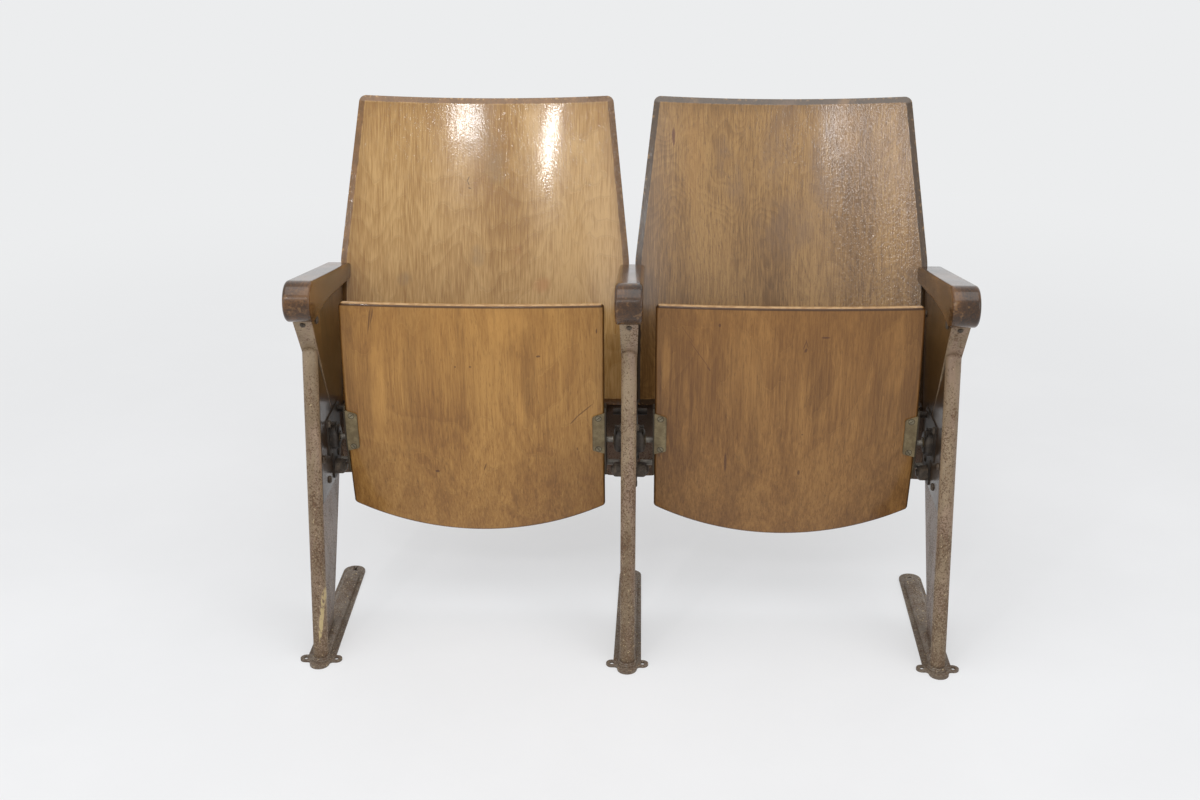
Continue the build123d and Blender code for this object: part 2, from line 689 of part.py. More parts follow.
def hinge_bracket(x, side):
    """Base plate, spring cup, open stop and spring post, on one side of a standard."""
    rear = from_pivot(OPEN_LUG)[0] + OPEN_LUG_RADIUS + BRACKET_MARGIN
    outline = rounded_polygon(
        BRACKET_CORNER,
        (BRACKET_FRONT, BRACKET_TOP),
        (BRACKET_FRONT, BRACKET_NECK),
        (BRACKET_LOWER_FRONT, BRACKET_NECK),
        (BRACKET_LOWER_FRONT, BRACKET_BOTTOM),
        (BRACKET_LOWER_REAR, BRACKET_BOTTOM),
        (rear, BRACKET_NECK),
        (rear, BRACKET_TOP),
    )
    plate_top = BOARD_FACE + BRACKET_PLATE
    cup = pivot_cylinder(CUP_RADIUS, BOARD_FACE, CUP_TOP)
    form = side_plate(outline, BOARD_FACE, plate_top) + fillet(outer_rim(cup), CUP_ROUND)
    form += pivot_cylinder(OPEN_LUG_RADIUS, BOARD_FACE, plate_top + BUFFER_LENGTH, OPEN_LUG)
    post = (SPRING_WIRE / 2 + POST_RADIUS + STOP_GAP - SPRING_RADIUS, SPRING_LEG - 2 * POST_RADIUS)
    form += pivot_cylinder(POST_RADIUS, BOARD_FACE, SPRING_HIGH + SPRING_WIRE, post)
    form -= pivot_cylinder(CUP_CAVITY, plate_top, CUP_TOP - CUP_WALL)
    form -= pivot_cylinder(BUSH_RADIUS, plate_top, CUP_TOP)
    notch_y, notch_z = from_pivot((-SPRING_RADIUS, CUP_RADIUS))
    form -= Pos(SPRING_HIGH, notch_y, notch_z) * Box(
        SPRING_WIRE + 2 * NOTCH_GAP, SPRING_WIRE + 2 * NOTCH_GAP, 2 * (CUP_RADIUS - SPRING_WIRE)
    )
    return place(form, x, side)


def bush(x, side):
    form = pivot_cylinder(BUSH_RADIUS, CUP_TOP - BUSH_LENGTH, CUP_TOP)
    form += pivot_cylinder(BUSH_RIM_RADIUS, CUP_TOP, CUP_TOP + BUSH_RIM)
    form -= pivot_cylinder(PIN_RADIUS + PIN_CLEARANCE, 0, 2 * CUP_TOP)
    return place(form, x, side)


def stop_buffer(x, side):
    base = BOARD_FACE + BRACKET_PLATE
    roller = pivot_cylinder(BUFFER_RADIUS, base, base + BUFFER_LENGTH, BUFFER_OFFSET)
    roller = fillet(outer_rim(roller), BUFFER_ROUND)
    roller -= pivot_cylinder(BUFFER_BOLT_RADIUS, 0, REACH, BUFFER_OFFSET)
    return place(roller, x, side)


def biarc(start, start_dir, end, end_dir):
    """Two tangent arcs that run from one point and direction to another."""
    chord = end - start
    both = start_dir + end_dir
    a = 2 * (start_dir.dot(end_dir) - 1)
    b = -2 * chord.dot(both)
    c = chord.dot(chord)
    reach = (-b - sqrt(b * b - 4 * a * c)) / (2 * a)
    first = start + start_dir * reach
    second = end - end_dir * reach
    joint = (first + second) * 0.5
    return [
        TangentArc(start, joint, tangent=start_dir),
        TangentArc(joint, end, tangent=(second - first).normalized()),
    ]


def coil_station(angle):
    """Point and direction on the coil; it winds clockwise seen from +X."""
    point = Vector(
        SPRING_LOW + SPRING_PITCH * (SPRING_START - angle) / (2 * pi),
        PIVOT_Y + SPRING_RADIUS * cos(angle),
        PIVOT_Z + SPRING_RADIUS * sin(angle),
    )
    climb = SPRING_PITCH / (2 * pi * SPRING_RADIUS)
    return point, Vector(climb, sin(angle), -cos(angle)).normalized()


def spring(x, side):
    """One leg in the pin's slot, the coil round the bush, one leg up behind the post."""
    centre = Vector(SPRING_LOW, PIVOT_Y, PIVOT_Z - PIN_RADIUS)
    bend = Vector(SPRING_LOW, PIVOT_Y, PIVOT_Z + SPRING_RADIUS - SPRING_BEND)
    path = [Line(centre, bend)]
    point, direction = bend, Vector(0, 0, 1)
    quarters = round((SPRING_START - SPRING_END) / (pi / 2))
    for step in range(quarters + 1):
        angle = SPRING_START + (SPRING_END - SPRING_START) * step / quarters
        next_point, next_direction = coil_station(angle)
        path += biarc(point, direction, next_point, next_direction)
        point, direction = next_point, next_direction
    path.append(Line(point, point + direction * SPRING_LEG))
    wire = Wire(path)
    section = Plane(origin=centre, z_dir=(0, 0, 1)) * Circle(SPRING_WIRE / 2)
    return place(sweep(section, wire), x, side)


def spring_gap():
    """The least gap between one turn of the coil and the next."""
    samples = 200
    least = REACH
    for step in range(samples):
        angle = SPRING_START - 2 * pi * step / samples
        here = coil_station(angle)[0]
        beyond = coil_station(angle - 2 * pi)[0]
        least = min(least, (here - beyond).length - SPRING_WIRE)
    return least


# ================================================================ hinge, seat's side
CHEEK_INNER = STANDARD_EDGE - SEAT_PLATE_THICKNESS


def link(start, start_radius, end, end_radius):
    """Two rounds joined by straight sides."""
    run = (end[0] - start[0], end[1] - start[1])
    length = sqrt(run[0] ** 2 + run[1] ** 2)
    across = (-run[1] / length, run[0] / length)
    body = polygon(
        along(start, across, start_radius),
        along(end, across, end_radius),
        along(end, across, -end_radius),
        along(start, across, -start_radius),
    )
    return body + Pos(*start) * Circle(start_radius) + Pos(*end) * Circle(end_radius)


def underside(z, skin):
    """Y of the underside at the seat's side edge, skin mm in front of it."""
    radius = SEAT_CURVE + skin
    return SEAT_FRONT + SEAT_CURVE - sqrt(radius**2 - (z - SEAT_CURVE_HEIGHT) ** 2)


def seat_bracket(seat_x, side):
    """Screwed plate on the underside, cheek on the seat's edge, tail to the stop."""
    low = PIVOT_Z - CHEEK_BELOW
    high = PIVOT_Z + CHEEK_ABOVE
    skin = SEAT_PLATE_THICKNESS / 2
    edge = ThreePointArc(
        (underside(low, skin), low),
        (underside((low + high) / 2, skin), (low + high) / 2),
        (underside(high, skin), high),
    )
    edge += Polyline(
        (underside(high, skin), high),
        (PIVOT_Y, high),
        (PIVOT_Y + CHEEK_LOBE, PIVOT_Z),
        (PIVOT_Y, low),
        (underside(low, skin), low),
    )
    lobe = Pos(PIVOT_Y, PIVOT_Z) * Circle(CHEEK_LOBE)
    tail = link((PIVOT_Y, PIVOT_Z), CHEEK_LOBE, from_pivot(STOP_PIN), TAIL_RADIUS)
    cheek = side_plate(make_face(edge) + lobe + tail, CHEEK_INNER, STANDARD_EDGE)
    cheek -= pivot_cylinder(PIN_RADIUS, 0, REACH)
    cheek -= pivot_cylinder(STOP_PIN_RADIUS, 0, REACH, STOP_PIN)
    standard_x = seat_x - side * SEAT_PITCH / 2
    cheek = place(cheek, standard_x, side)
    inner = SEAT_HALF_WIDTH - SEAT_PLATE_WIDTH
    outer = SEAT_HALF_WIDTH + SEAT_PLATE_THICKNESS
    face = polygon(
        (outer, PIVOT_Z - SEAT_PLATE_BELOW),
        (outer, PIVOT_Z + SEAT_PLATE_ABOVE),
        (inner, PIVOT_Z + SEAT_PLATE_ABOVE - SEAT_PLATE_SLANT),
        (inner, PIVOT_Z - SEAT_PLATE_BELOW + SEAT_PLATE_SLANT),
    )
    corners = [corner for corner in face.vertices() if abs(corner.X - inner) < EPS]
    face = fillet(corners, SEAT_PLATE_CORNER)
    if side > 0:
        face = mirror(face, Plane.YZ)
    plate = dished_sheet(seat_x, 0, SEAT_PLATE_THICKNESS) & front_window(face, seat_x)
    return plate + cheek


def pivot_pin(x, side):
    pin = pivot_cylinder(PIN_RADIUS, PIN_END, STANDARD_EDGE)
    pin -= Pos(PIN_END, PIVOT_Y, PIVOT_Z) * Box(2 * PIN_SLOT_DEPTH, PIN_SLOT, REACH)
    return place(pin, x, side)


def stop_pin(x, side):
    pin = pivot_cylinder(
        STOP_PIN_RADIUS, CHEEK_INNER - STOP_PIN_LENGTH, STANDARD_EDGE, STOP_PIN
    )
    return place(pin, x, side)


# ================================================================ fasteners
def wood_screw(length, sunk):
    """A slotted screw that points down -Z; its head is flush or domed."""
    shank = Cylinder(WOOD_SCREW_RADIUS, length, align=(Align.CENTER, Align.CENTER, Align.MAX))
    if sunk:
        head = Pos(0, 0, -WOOD_SCREW_SUNK / 2) * Cone(
            WOOD_SCREW_RADIUS, WOOD_SCREW_HEAD, WOOD_SCREW_SUNK
        )
        top = 0
    else:
        head = Cylinder(
            WOOD_SCREW_HEAD, WOOD_SCREW_SUNK, align=(Align.CENTER, Align.CENTER, Align.MIN)
        )
        head = fillet(head.edges().sort_by(Axis.Z)[-1], WOOD_SCREW_SUNK * 0.8)
        top = WOOD_SCREW_SUNK
    slot = Pos(0, 0, top) * Box(3 * WOOD_SCREW_HEAD, SCREW_SLOT, 1.2 * SCREW_SLOT)
    return shank + head - slot


def seat_screws(seat_x):
    screws = []
    x = SEAT_HALF_WIDTH - SEAT_PLATE_WIDTH / 2
    for side in (-1, 1):
        for z in (
            PIVOT_Z + SEAT_PLATE_ABOVE - SEAT_SCREW_INSET,
            PIVOT_Z - SEAT_PLATE_BELOW + SEAT_SCREW_INSET,
        ):
            spot = seat_spot(seat_x, side * x, z, SEAT_PLATE_THICKNESS)
            screws.append(spot * (Rot(0, 0, SCREW_TURN) * wood_screw(WOOD_SCREW_LENGTH, True)))
    return screws


def back_screws(x):
    """Dome-headed screws through an upright's wings into the backs."""
    screws = []
    radius = BACK_CURVE + BACK_THICKNESS + UPRIGHT_THICKNESS
    for seat_x, side in neighbours(x):
        across = x + side * BACK_SCREW_REACH - seat_x
        swing = asin(across / radius)
        for height in BACK_SCREW_HEIGHTS:
            local = back_plane(seat_x, height)
            origin = (
                local.origin
                + local.x_dir * across
                + local.y_dir * (radius * cos(swing) - BACK_CURVE)
            )
            normal = local.x_dir * sin(swing) + local.y_dir * cos(swing)
            spot = Plane(origin=origin, z_dir=normal)
            screws.append(spot * wood_screw(UPRIGHT_THICKNESS + BACK_SCREW_BITE, False))
    return screws


def arm_screw(x):
    """The round-headed screw through the strap's upper end into the armrest."""
    y, z = strap_point(ARM_SCREW_DROP)
    spot = Plane(origin=(x, y, z), z_dir=(0, -STRAP_BACK[0], -STRAP_BACK[1]))
    return spot * wood_screw(ARM_SCREW_LENGTH, False)


def through_bolt(x, y, z, low, high, radius):
    """A bolt across a standard with a dome on each end, from low to high."""
    bolt = x_cylinder(radius, low, high, y, z)
    for end, out in ((low, -1), (high, 1)):
        dome = x_cylinder(DOME_RADIUS, end, end + out * DOME_HEIGHT, y, z)
        rim = dome.edges().filter_by(GeomType.CIRCLE).sort_by(Axis.X)[-1 if out > 0 else 0]
        bolt += fillet(rim, DOME_HEIGHT * 0.85)
    return Pos(x, 0, 0) * bolt


def board_bolts(x):
    return [
        through_bolt(x, y, z, -BOARD_FACE, BOARD_FACE, PANEL_BOLT_RADIUS)
        for y, z in FRONT_BOARD_BOLTS + REAR_BOARD_BOLTS
    ]


def bracket_bolts(x):
    """Bolts through the hinge brackets, and one through each pair of buffers."""
    sides = [side for _, side in neighbours(x)]
    plate = BOARD_FACE + BRACKET_PLATE
    low = -(plate if -1 in sides else BOARD_FACE)
    high = plate if 1 in sides else BOARD_FACE
    bolts = [through_bolt(x, y, z, low, high, PANEL_BOLT_RADIUS) for y, z in HINGE_BOLTS]
    y, z = from_pivot(BUFFER_OFFSET)
    low -= BUFFER_LENGTH if -1 in sides else 0
    high += BUFFER_LENGTH if 1 in sides else 0
    bolts.append(through_bolt(x, y, z, low, high, BUFFER_BOLT_RADIUS))
    return bolts


# ================================================================ assembly
def cut_all(piece, tools):
    """A piece with the room taken out for each fastener that passes it."""
    box = piece.bounding_box()
    for tool in tools:
        other = tool.bounding_box()
        if all(
            low <= other_high and other_low <= high
            for low, high, other_low, other_high in zip(box.min, box.max, other.min, other.max)
        ):
            piece -= tool
    return piece


def build_standard(name, x, backs):
    bolts = board_bolts(x) + bracket_bolts(x)
    screw = arm_screw(x)
    tools = bolts + [screw]
    keep("leg_tube_" + name, leg_tube(x))
    keep("foot_" + name, foot(x))
    keep("web_plate_" + name, cut_all(web_plate(x), tools))
    keep("core_plate_" + name, cut_all(core_plate(x), tools))
    keep("strap_" + name, cut_all(strap(x), tools))
    keep("front_boards_" + name, *[cut_all(board, tools) for board in front_boards(x)])
    keep("rear_boards_" + name, *[cut_all(board, tools) for board in rear_boards(x)])
    keep("armrest_" + name, cut_all(armrest(x, backs), tools))
    screws = back_screws(x)
    keep("back_upright_" + name, cut_all(upright(x), screws))
    return bolts, screws, screw


def build():
    backs = {name: backrest(seat_x) for name, seat_x in SEATS.items()}
    bolts, back_fixings, arm_fixings = [], [], []
    for name, x in STANDARDS.items():
        more_bolts, more_screws, screw = build_standard(name, x, backs.values())
        bolts += more_bolts
        back_fixings += more_screws
        arm_fixings.append(screw)
    bushes, buffers = [], []
    for name, seat_x in SEATS.items():
        keep("backrest_" + name, cut_all(backs[name], back_fixings))
        screws = seat_screws(seat_x)
        keep("seat_panel_" + name, cut_all(seat_panel(seat_x), screws))
        keep("seat_screws_" + name, *screws)
        stop_pins = []
        for side, end in ((1, "left"), (-1, "right")):
            x = seat_x - side * SEAT_PITCH / 2
            label = f"{name}_{end}"
            keep("hinge_bracket_" + label, cut_all(hinge_bracket(x, side), bolts))
            keep("spring_" + label, spring(x, side))
            keep("seat_bracket_" + label, cut_all(seat_bracket(seat_x, side), screws))
            keep("pivot_pin_" + label, pivot_pin(x, side))
            stop_pins.append(stop_pin(x, side))
            bushes.append(bush(x, side))
            buffers.append(stop_buffer(x, side))
        keep("stop_pins_" + name, *stop_pins)
    keep("pivot_bushes", *bushes)
    keep("stop_buffers", *buffers)
    keep("standard_bolts", *bolts)
    keep("backrest_screws", *back_fixings)
    keep("armrest_screws", *arm_fixings)


build()
os.makedirs("parts", exist_ok=True)
for part_name, part_shape in PARTS.items():
    export_step(part_shape, f"parts/{part_name}.step")
print("nodes", len(PARTS), "least gap between spring turns", round(spring_gap(), 2))
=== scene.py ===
import math
import random

import bmesh
import bpy
from mathutils import Matrix, Quaternion, Vector


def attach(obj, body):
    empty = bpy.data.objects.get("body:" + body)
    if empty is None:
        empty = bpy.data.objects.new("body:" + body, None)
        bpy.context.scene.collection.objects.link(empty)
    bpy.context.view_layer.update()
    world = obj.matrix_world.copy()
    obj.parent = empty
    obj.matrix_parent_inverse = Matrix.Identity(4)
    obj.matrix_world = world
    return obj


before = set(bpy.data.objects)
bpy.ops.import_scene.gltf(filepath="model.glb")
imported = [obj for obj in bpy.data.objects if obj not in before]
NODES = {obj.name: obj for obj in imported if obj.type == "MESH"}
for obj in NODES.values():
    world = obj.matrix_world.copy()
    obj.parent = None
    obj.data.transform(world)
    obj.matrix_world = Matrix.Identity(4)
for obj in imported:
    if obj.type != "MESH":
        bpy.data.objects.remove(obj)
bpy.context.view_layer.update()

# A pair of tip-up auditorium seats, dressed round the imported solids.
# Metres, in the CAD's frame: X along the row, Y from front feet to backs, Z up.

SEED = 11

# ---------------------------------------------------------------- camera, as fitted to the photograph
CAMERA_AT = Vector((0.0401, -2.1606, 1.3970))
CAMERA_PITCH = math.radians(22.878)     # looking down
CAMERA_YAW = math.radians(-2.223)
CAMERA_ROLL = math.radians(-0.267)
CAMERA_LENS = 45.0

# ---------------------------------------------------------------- places taken from the solids
STANDARD_X = {"left": -0.52, "middle": 0.0, "right": 0.52}
SEAT_X = {"left": -0.26, "right": 0.26}
BACK_LEAN = math.radians(20.0)
BACK_FOOT = (0.3145, 0.345)
BACK_HEIGHT = 0.543
BACK_SHOULDER = 0.255
BACK_HALF_LOW = 0.2545
BACK_HALF_TOP = 0.2235
BEVEL = 0.011
SEAT_TOP = 0.592
SEAT_HALF = 0.218
SEAT_CORNER = 0.219
SEAT_TAIL = 0.053              # how much lower the middle of the rear edge is
SCREW_ACROSS = 0.208           # seat screws, from the seat's middle
SCREW_HEIGHTS = (0.336, 0.394)
SCREW_HEAD = 0.0046
LEG_LEAN = math.radians(10.9)
LEG_RADIUS = 0.0125
COLLAR_TOP = 0.0075

# ---------------------------------------------------------------- surfaces
WOOD_SPECULAR = 0.3
METAL_SPECULAR = 0.35
STAIN_SOFT = 0.9               # see spots
BOARD_DARK_FULL = 0.45        # the side boards are darkest below this height
BOARD_DARK_GONE = 0.59        # and no darker than their wood above this one

# ---------------------------------------------------------------- small pieces of the visual model
TUBE_SIDES = 10
WELD_RADIUS = 0.0021
WELD_LUMPS = (0.8, 1.15)       # least and most share of that radius
WELD_LIFT = 0.0006             # the foot bead's middle, out from the leg's skin
WELD_STEPS = 40
STITCHES = (0.045, 0.118, 0.196)
STITCH_SIDE = 0.0028           # a stitch's middle, beside the web's
STITCH_LENGTH = 0.024
STITCH_STEPS = 12
STITCH_END = 0.45              # share of the radius that is left at a stitch's ends
PRONG_AT = (-0.5185, 0.303, 0.002)
PRONG_HEIGHT = 0.009
PRONG_RADIUS = 0.0015
PRONG_TAPER = 0.55
PRONG_STEPS = 10
PRONG_LEANS = {                # how far each tip bends along x and y, as a share of its height
    "a": (-0.35, 0.25),
    "b": (0.55, -0.1),
}

# ---------------------------------------------------------------- room
WORLD_LIGHT = 0.6
WORLD_TINT = (0.97, 0.98, 1.0, 1.0)
ROOM_SCREEN = (236, 237, 238)
SEEN_BY = ("Is Camera Ray", "Is Glossy Ray", "Is Transmission Ray")
FLOOR_HALF = 14.0
FADE_START = 0.9               # the floor turns into the room between these distances
FADE_END = 3.2
FADE_NEAR = 0.5                # share of the room's tone in the floor close by
SENSOR_WIDTH = 36.0
LAMPS = [                      # name, place, aimed at, size, watts, degrees of roll
    ("ceiling", (0.0, -0.5, 3.4), (0.0, 0.2, 0.3), (3.8, 2.8), 60, 0),
    ("high_window", (-0.33, -2.34, 2.30), (0.0, 0.49, 0.80), (0.36, 0.10), 7, 0),
    ("tall_lamp", (-1.385, -2.15, 2.155), (-0.15, 0.466, 0.789), (0.06, 0.26), 8, 37),
    ("left_fill", (-2.6, -1.8, 1.5), (0.0, 0.2, 0.4), (1.6, 1.6), 10, 0),
    ("right_fill", (2.6, -1.6, 1.5), (0.0, 0.2, 0.4), (1.6, 1.6), 12, 0),
]


# ================================================================ shader helpers
class Shader:
    """A material's node tree with short calls, most of which give the socket they make."""

    def __init__(self, name):
        self.material = bpy.data.materials.new(name)
        self.material.use_nodes = True
        self.tree = self.material.node_tree
        self.tree.nodes.clear()
        self.output = self.tree.nodes.new("ShaderNodeOutputMaterial")
        self.surface = self.tree.nodes.new("ShaderNodeBsdfPrincipled")
        self.tree.links.new(self.surface.outputs[0], self.output.inputs["Surface"])
        self.place = self.tree.nodes.new("ShaderNodeTexCoord").outputs["Object"]
        split = self.node("ShaderNodeSeparateXYZ", [self.place])
        self.x, self.y, self.z = split.outputs

    def node(self, kind, inputs=(), **options):
        made = self.tree.nodes.new(kind)
        for option, value in options.items():
            setattr(made, option, value)
        for socket, value in zip(made.inputs, inputs):
            self.feed(socket, value)
        return made

    def feed(self, socket, value):
        if isinstance(value, bpy.types.NodeSocket):
            self.tree.links.new(value, socket)
        else:
            socket.default_value = value

    def math(self, operation, *inputs):
        return self.node("ShaderNodeMath", inputs, operation=operation).outputs[0]

    def add(self, a, b):
        return self.math("ADD", a, b)

    def less(self, a, b):
        return self.math("SUBTRACT", a, b)

    def times(self, a, b):
        return self.math("MULTIPLY", a, b)

    def absolute(self, a):
        return self.math("ABSOLUTE", a)

    def smallest(self, first, *others):
        for other in others:
            first = self.math("MINIMUM", first, other)
        return first

    def largest(self, first, *others):
        for other in others:
            first = self.math("MAXIMUM", first, other)
        return first

    def step(self, value, low, high, smooth=True):
        """0 below low, 1 above high, whichever way round they are."""
        made = self.tree.nodes.new("ShaderNodeMapRange")
        if smooth:
            made.interpolation_type = "SMOOTHSTEP"
        self.feed(made.inputs["Value"], value)
        made.inputs["From Min"].default_value = min(low, high)
        made.inputs["From Max"].default_value = max(low, high)
        made.inputs["To Min"].default_value = 0.0 if low < high else 1.0
        made.inputs["To Max"].default_value = 1.0 if low < high else 0.0
        return made.outputs["Result"]

    def mapped(self, scale, rotation=(0, 0, 0), shift=(0, 0, 0), place=None):
        made = self.node("ShaderNodeMapping")
        self.feed(made.inputs["Vector"], place or self.place)
        made.inputs["Scale"].default_value = scale
        made.inputs["Rotation"].default_value = rotation
        made.inputs["Location"].default_value = shift
        return made.outputs[0]

    def noise(self, place, scale=1.0, detail=2.0, rough=0.5, distort=0.0):
        made = self.node("ShaderNodeTexNoise")
        self.feed(made.inputs["Vector"], place)
        made.inputs["Scale"].default_value = scale
        made.inputs["Detail"].default_value = detail
        made.inputs["Roughness"].default_value = rough
        made.inputs["Distortion"].default_value = distort
        return made.outputs["Fac"]

    def cell_edges(self, place, scale):
        """Distance from the nearest border between random cells."""
        made = self.node("ShaderNodeTexVoronoi", feature="DISTANCE_TO_EDGE")
        self.feed(made.inputs["Vector"], place)
        made.inputs["Scale"].default_value = scale
        return made.outputs["Distance"]

    def ramp(self, value, *stops):
        """A colour ramp from (position, colour) pairs."""
        made = self.node("ShaderNodeValToRGB")
        self.feed(made.inputs[0], value)
        points = made.color_ramp.elements
        while len(points) < len(stops):
            points.new(0.5)
        for point, (position, colour) in zip(points, stops):
            point.position = position
            point.color = (*colour, 1.0)
        return made.outputs["Color"]

    def mix(self, share, a, b):
        """Colour a where share is 0 and colour b where it is 1."""
        made = self.node("ShaderNodeMix", data_type="RGBA")
        self.feed(made.inputs["Factor"], share)
        for socket, value in zip(made.inputs[6:8], (a, b)):
            self.feed(socket, (*value, 1.0) if isinstance(value, tuple) else value)
        return made.outputs[2]

    def bump(self, height, distance, strength=1.0, normal=None):
        made = self.node("ShaderNodeBump")
        made.inputs["Strength"].default_value = strength
        made.inputs["Distance"].default_value = distance
        self.feed(made.inputs["Height"], height)
        if normal is not None:
            self.feed(made.inputs["Normal"], normal)
        return made.outputs[0]

    def set(self, **values):
        """Fill the surface shader's sockets by name; gives the finished material."""
        for name, value in values.items():
            socket = self.surface.inputs[name.replace("_", " ")]
            self.feed(socket, (*value, 1.0) if isinstance(value, tuple) else value)
        return self.material


def srgb(red, green, blue):
    """A screen colour, 0 to 255, as the linear light that shaders take."""

    def linear(value):
        value /= 255
        return value / 12.92 if value <= 0.04045 else ((value + 0.055) / 1.055) ** 2.4

    return tuple(linear(value) for value in (red, green, blue))


def shade(colour, factor):
    """A colour made lighter or darker by one factor."""
    return tuple(value * factor for value in colour)


def spots(s, places, soft):
    """1 inside each ellipse (x, z, half width, half height, slant).

    It fades while the squared distance, as a share of the outline's, goes from
    1 - soft to 1 + soft."""
    found = None
    for x, z, wide, high, slant in places:
        dx = s.less(s.less(s.x, x), s.times(s.less(s.z, z), slant))
        dz = s.less(s.z, z)
        reach = s.add(
            s.math("POWER", s.absolute(s.times(dx, 1 / wide)), 2.0),
            s.math("POWER", s.absolute(s.times(dz, 1 / high)), 2.0),
        )
        inside = s.step(reach, 1.0 + soft, 1.0 - soft)
        found = inside if found is None else s.largest(found, inside)
    return found


# ================================================================ wood
def veneer(name, palette, seed, lean=0.0, rings=12.0, calm_above=None, straight=0.3, pore=0.3):
    """Low-contrast veneer, its grain up the sheet: patches, growth rings, fibres and pores."""
    s = Shader(name)
    place = s.mapped((1, 1, 1), rotation=(lean, 0, 0), shift=(seed, seed * 0.37, seed * 0.71))
    patch = s.noise(s.mapped((9, 9, 2.6), place=place), detail=3, rough=0.5)
    stripe = s.noise(s.mapped((48, 48, 1.6), place=place), detail=3, rough=0.6)
    hills = s.noise(s.mapped((6.5, 6.5, 3.0), place=place), detail=2.2, rough=0.42, distort=0.9)
    jitter = s.noise(s.mapped((90, 90, 24), place=place), detail=2)
    count = rings
    if calm_above is not None:
        busy = s.step(s.z, calm_above + 0.1, calm_above - 0.16)
        count = s.add(s.times(busy, rings * 0.55), rings * 0.45)
    phase = s.math("FRACT", s.add(s.times(hills, count), s.times(jitter, 0.35)))
    fibres = s.noise(s.mapped((250, 250, 7), place=place), detail=4, rough=0.72)
    hair = s.noise(s.mapped((520, 520, 26), place=place), detail=2, rough=0.6)
    pores = s.noise(s.mapped((700, 700, 70), place=place), detail=1)
    tone = s.add(
        s.add(s.times(patch, 0.5 - straight * 0.5), s.times(stripe, straight * 0.5)),
        s.add(s.times(fibres, straight), s.times(hair, 0.5 - straight)),
    )
    tone = s.add(tone, s.times(s.less(phase, 0.5), 0.055))
    dark, mid, light = palette
    colour = s.ramp(tone, (0.41, dark), (0.5, mid), (0.59, light))
    line = s.times(s.step(phase, 0.86, 0.95), s.step(phase, 1.0, 0.96))
    colour = s.mix(s.times(line, 0.2), colour, shade(dark, 0.7))
    flecks = s.step(pores, 0.6, 0.7)
    colour = s.mix(s.times(flecks, pore), colour, shade(dark, 0.6))
    return s, colour, fibres, flecks


def lacquer(s, colour, fibres, flecks, gloss, peel, extra=None, coat=0.35, blur=0.09):
    """The shared end of a lacquered wood: pore relief, slow ripple and clear coat."""
    ripple = s.noise(s.place, scale=300, detail=1.5, rough=0.5)
    swell = s.noise(s.place, scale=26, detail=1.0)
    normal = s.bump(swell, 0.0007, 0.5 * peel)
    normal = s.bump(ripple, 0.00016, peel, normal)
    normal = s.bump(s.less(s.times(fibres, 0.4), flecks), 0.00008, 0.5, normal)
    if extra is not None:
        normal = s.bump(extra, 0.0005, 1.0, normal)
    smudge = s.noise(s.place, scale=17, detail=4, rough=0.65)
    rough = s.add(s.times(smudge, 0.14), gloss)
    return s.set(
        Base_Color=colour,
        Roughness=rough,
        Normal=normal,
        Coat_Weight=coat,
        Coat_Roughness=blur,
        Coat_Normal=normal,
        Specular_IOR_Level=WOOD_SPECULAR,
    )


def back_rim(s, centre):
    """Distance in metres from a back's outline, on its face."""
    along = s.add(
        s.times(s.less(s.y, BACK_FOOT[0]), math.sin(BACK_LEAN)),
        s.times(s.less(s.z, BACK_FOOT[1]), math.cos(BACK_LEAN)),
    )
    across = s.absolute(s.less(s.x, centre))
    draw = (BACK_HALF_LOW - BACK_HALF_TOP) / (BACK_HEIGHT - BACK_SHOULDER)
    half = s.less(BACK_HALF_LOW, s.times(s.largest(s.less(along, BACK_SHOULDER), 0.0), draw))
    return s.smallest(s.less(half, across), s.less(BACK_HEIGHT, along), along)


def back_material(seat, palette, edge_colour, seed, **looks):
    """Backrest veneer, with a darker bevel rubbed paler in spots, a paler line along the arris and shaded
    borders.
    """
    s, colour, fibres, flecks = veneer("back_veneer_" + seat, palette, seed, lean=BACK_LEAN, **looks)
    rim = back_rim(s, SEAT_X[seat])
    mottle = s.noise(s.mapped((70, 70, 26)), detail=4, rough=0.7)
    dark, _, light = palette
    bevel = s.step(s.add(rim, s.times(s.less(mottle, 0.5), 0.002)), BEVEL + 0.0006, BEVEL - 0.001)
    edge = s.mix(s.step(mottle, 0.35, 0.68), edge_colour, shade(edge_colour, 1.6))
    colour = s.mix(s.times(s.step(rim, 0.034, 0.008), 0.3), colour, shade(dark, 0.72))
    colour = s.mix(s.times(bevel, 0.88), colour, edge)
    # a paler line along the arris
    arris = s.times(s.step(rim, BEVEL - 0.0012, BEVEL), s.step(rim, BEVEL + 0.0024, BEVEL + 0.0008))
    colour = s.mix(s.times(s.times(arris, s.step(mottle, 0.4, 0.6)), 0.4), colour, light)
    wear = s.times(s.step(rim, 0.006, 0.001), s.step(s.noise(s.place, scale=190, detail=5), 0.55, 0.66))
    colour = s.mix(s.times(wear, 0.5), colour, shade(light, 1.15))
    return s, colour, fibres, flecks, rim


def stained(s, colour, places, tint, share):
    """Soft patches of another tint, frayed by noise so that no edge is round."""
    fray = s.noise(s.mapped((40, 40, 14)), detail=4, rough=0.65)
    patch = s.times(spots(s, places, STAIN_SOFT), s.step(fray, 0.3, 0.62))
    return s.mix(s.times(patch, share), colour, tint)


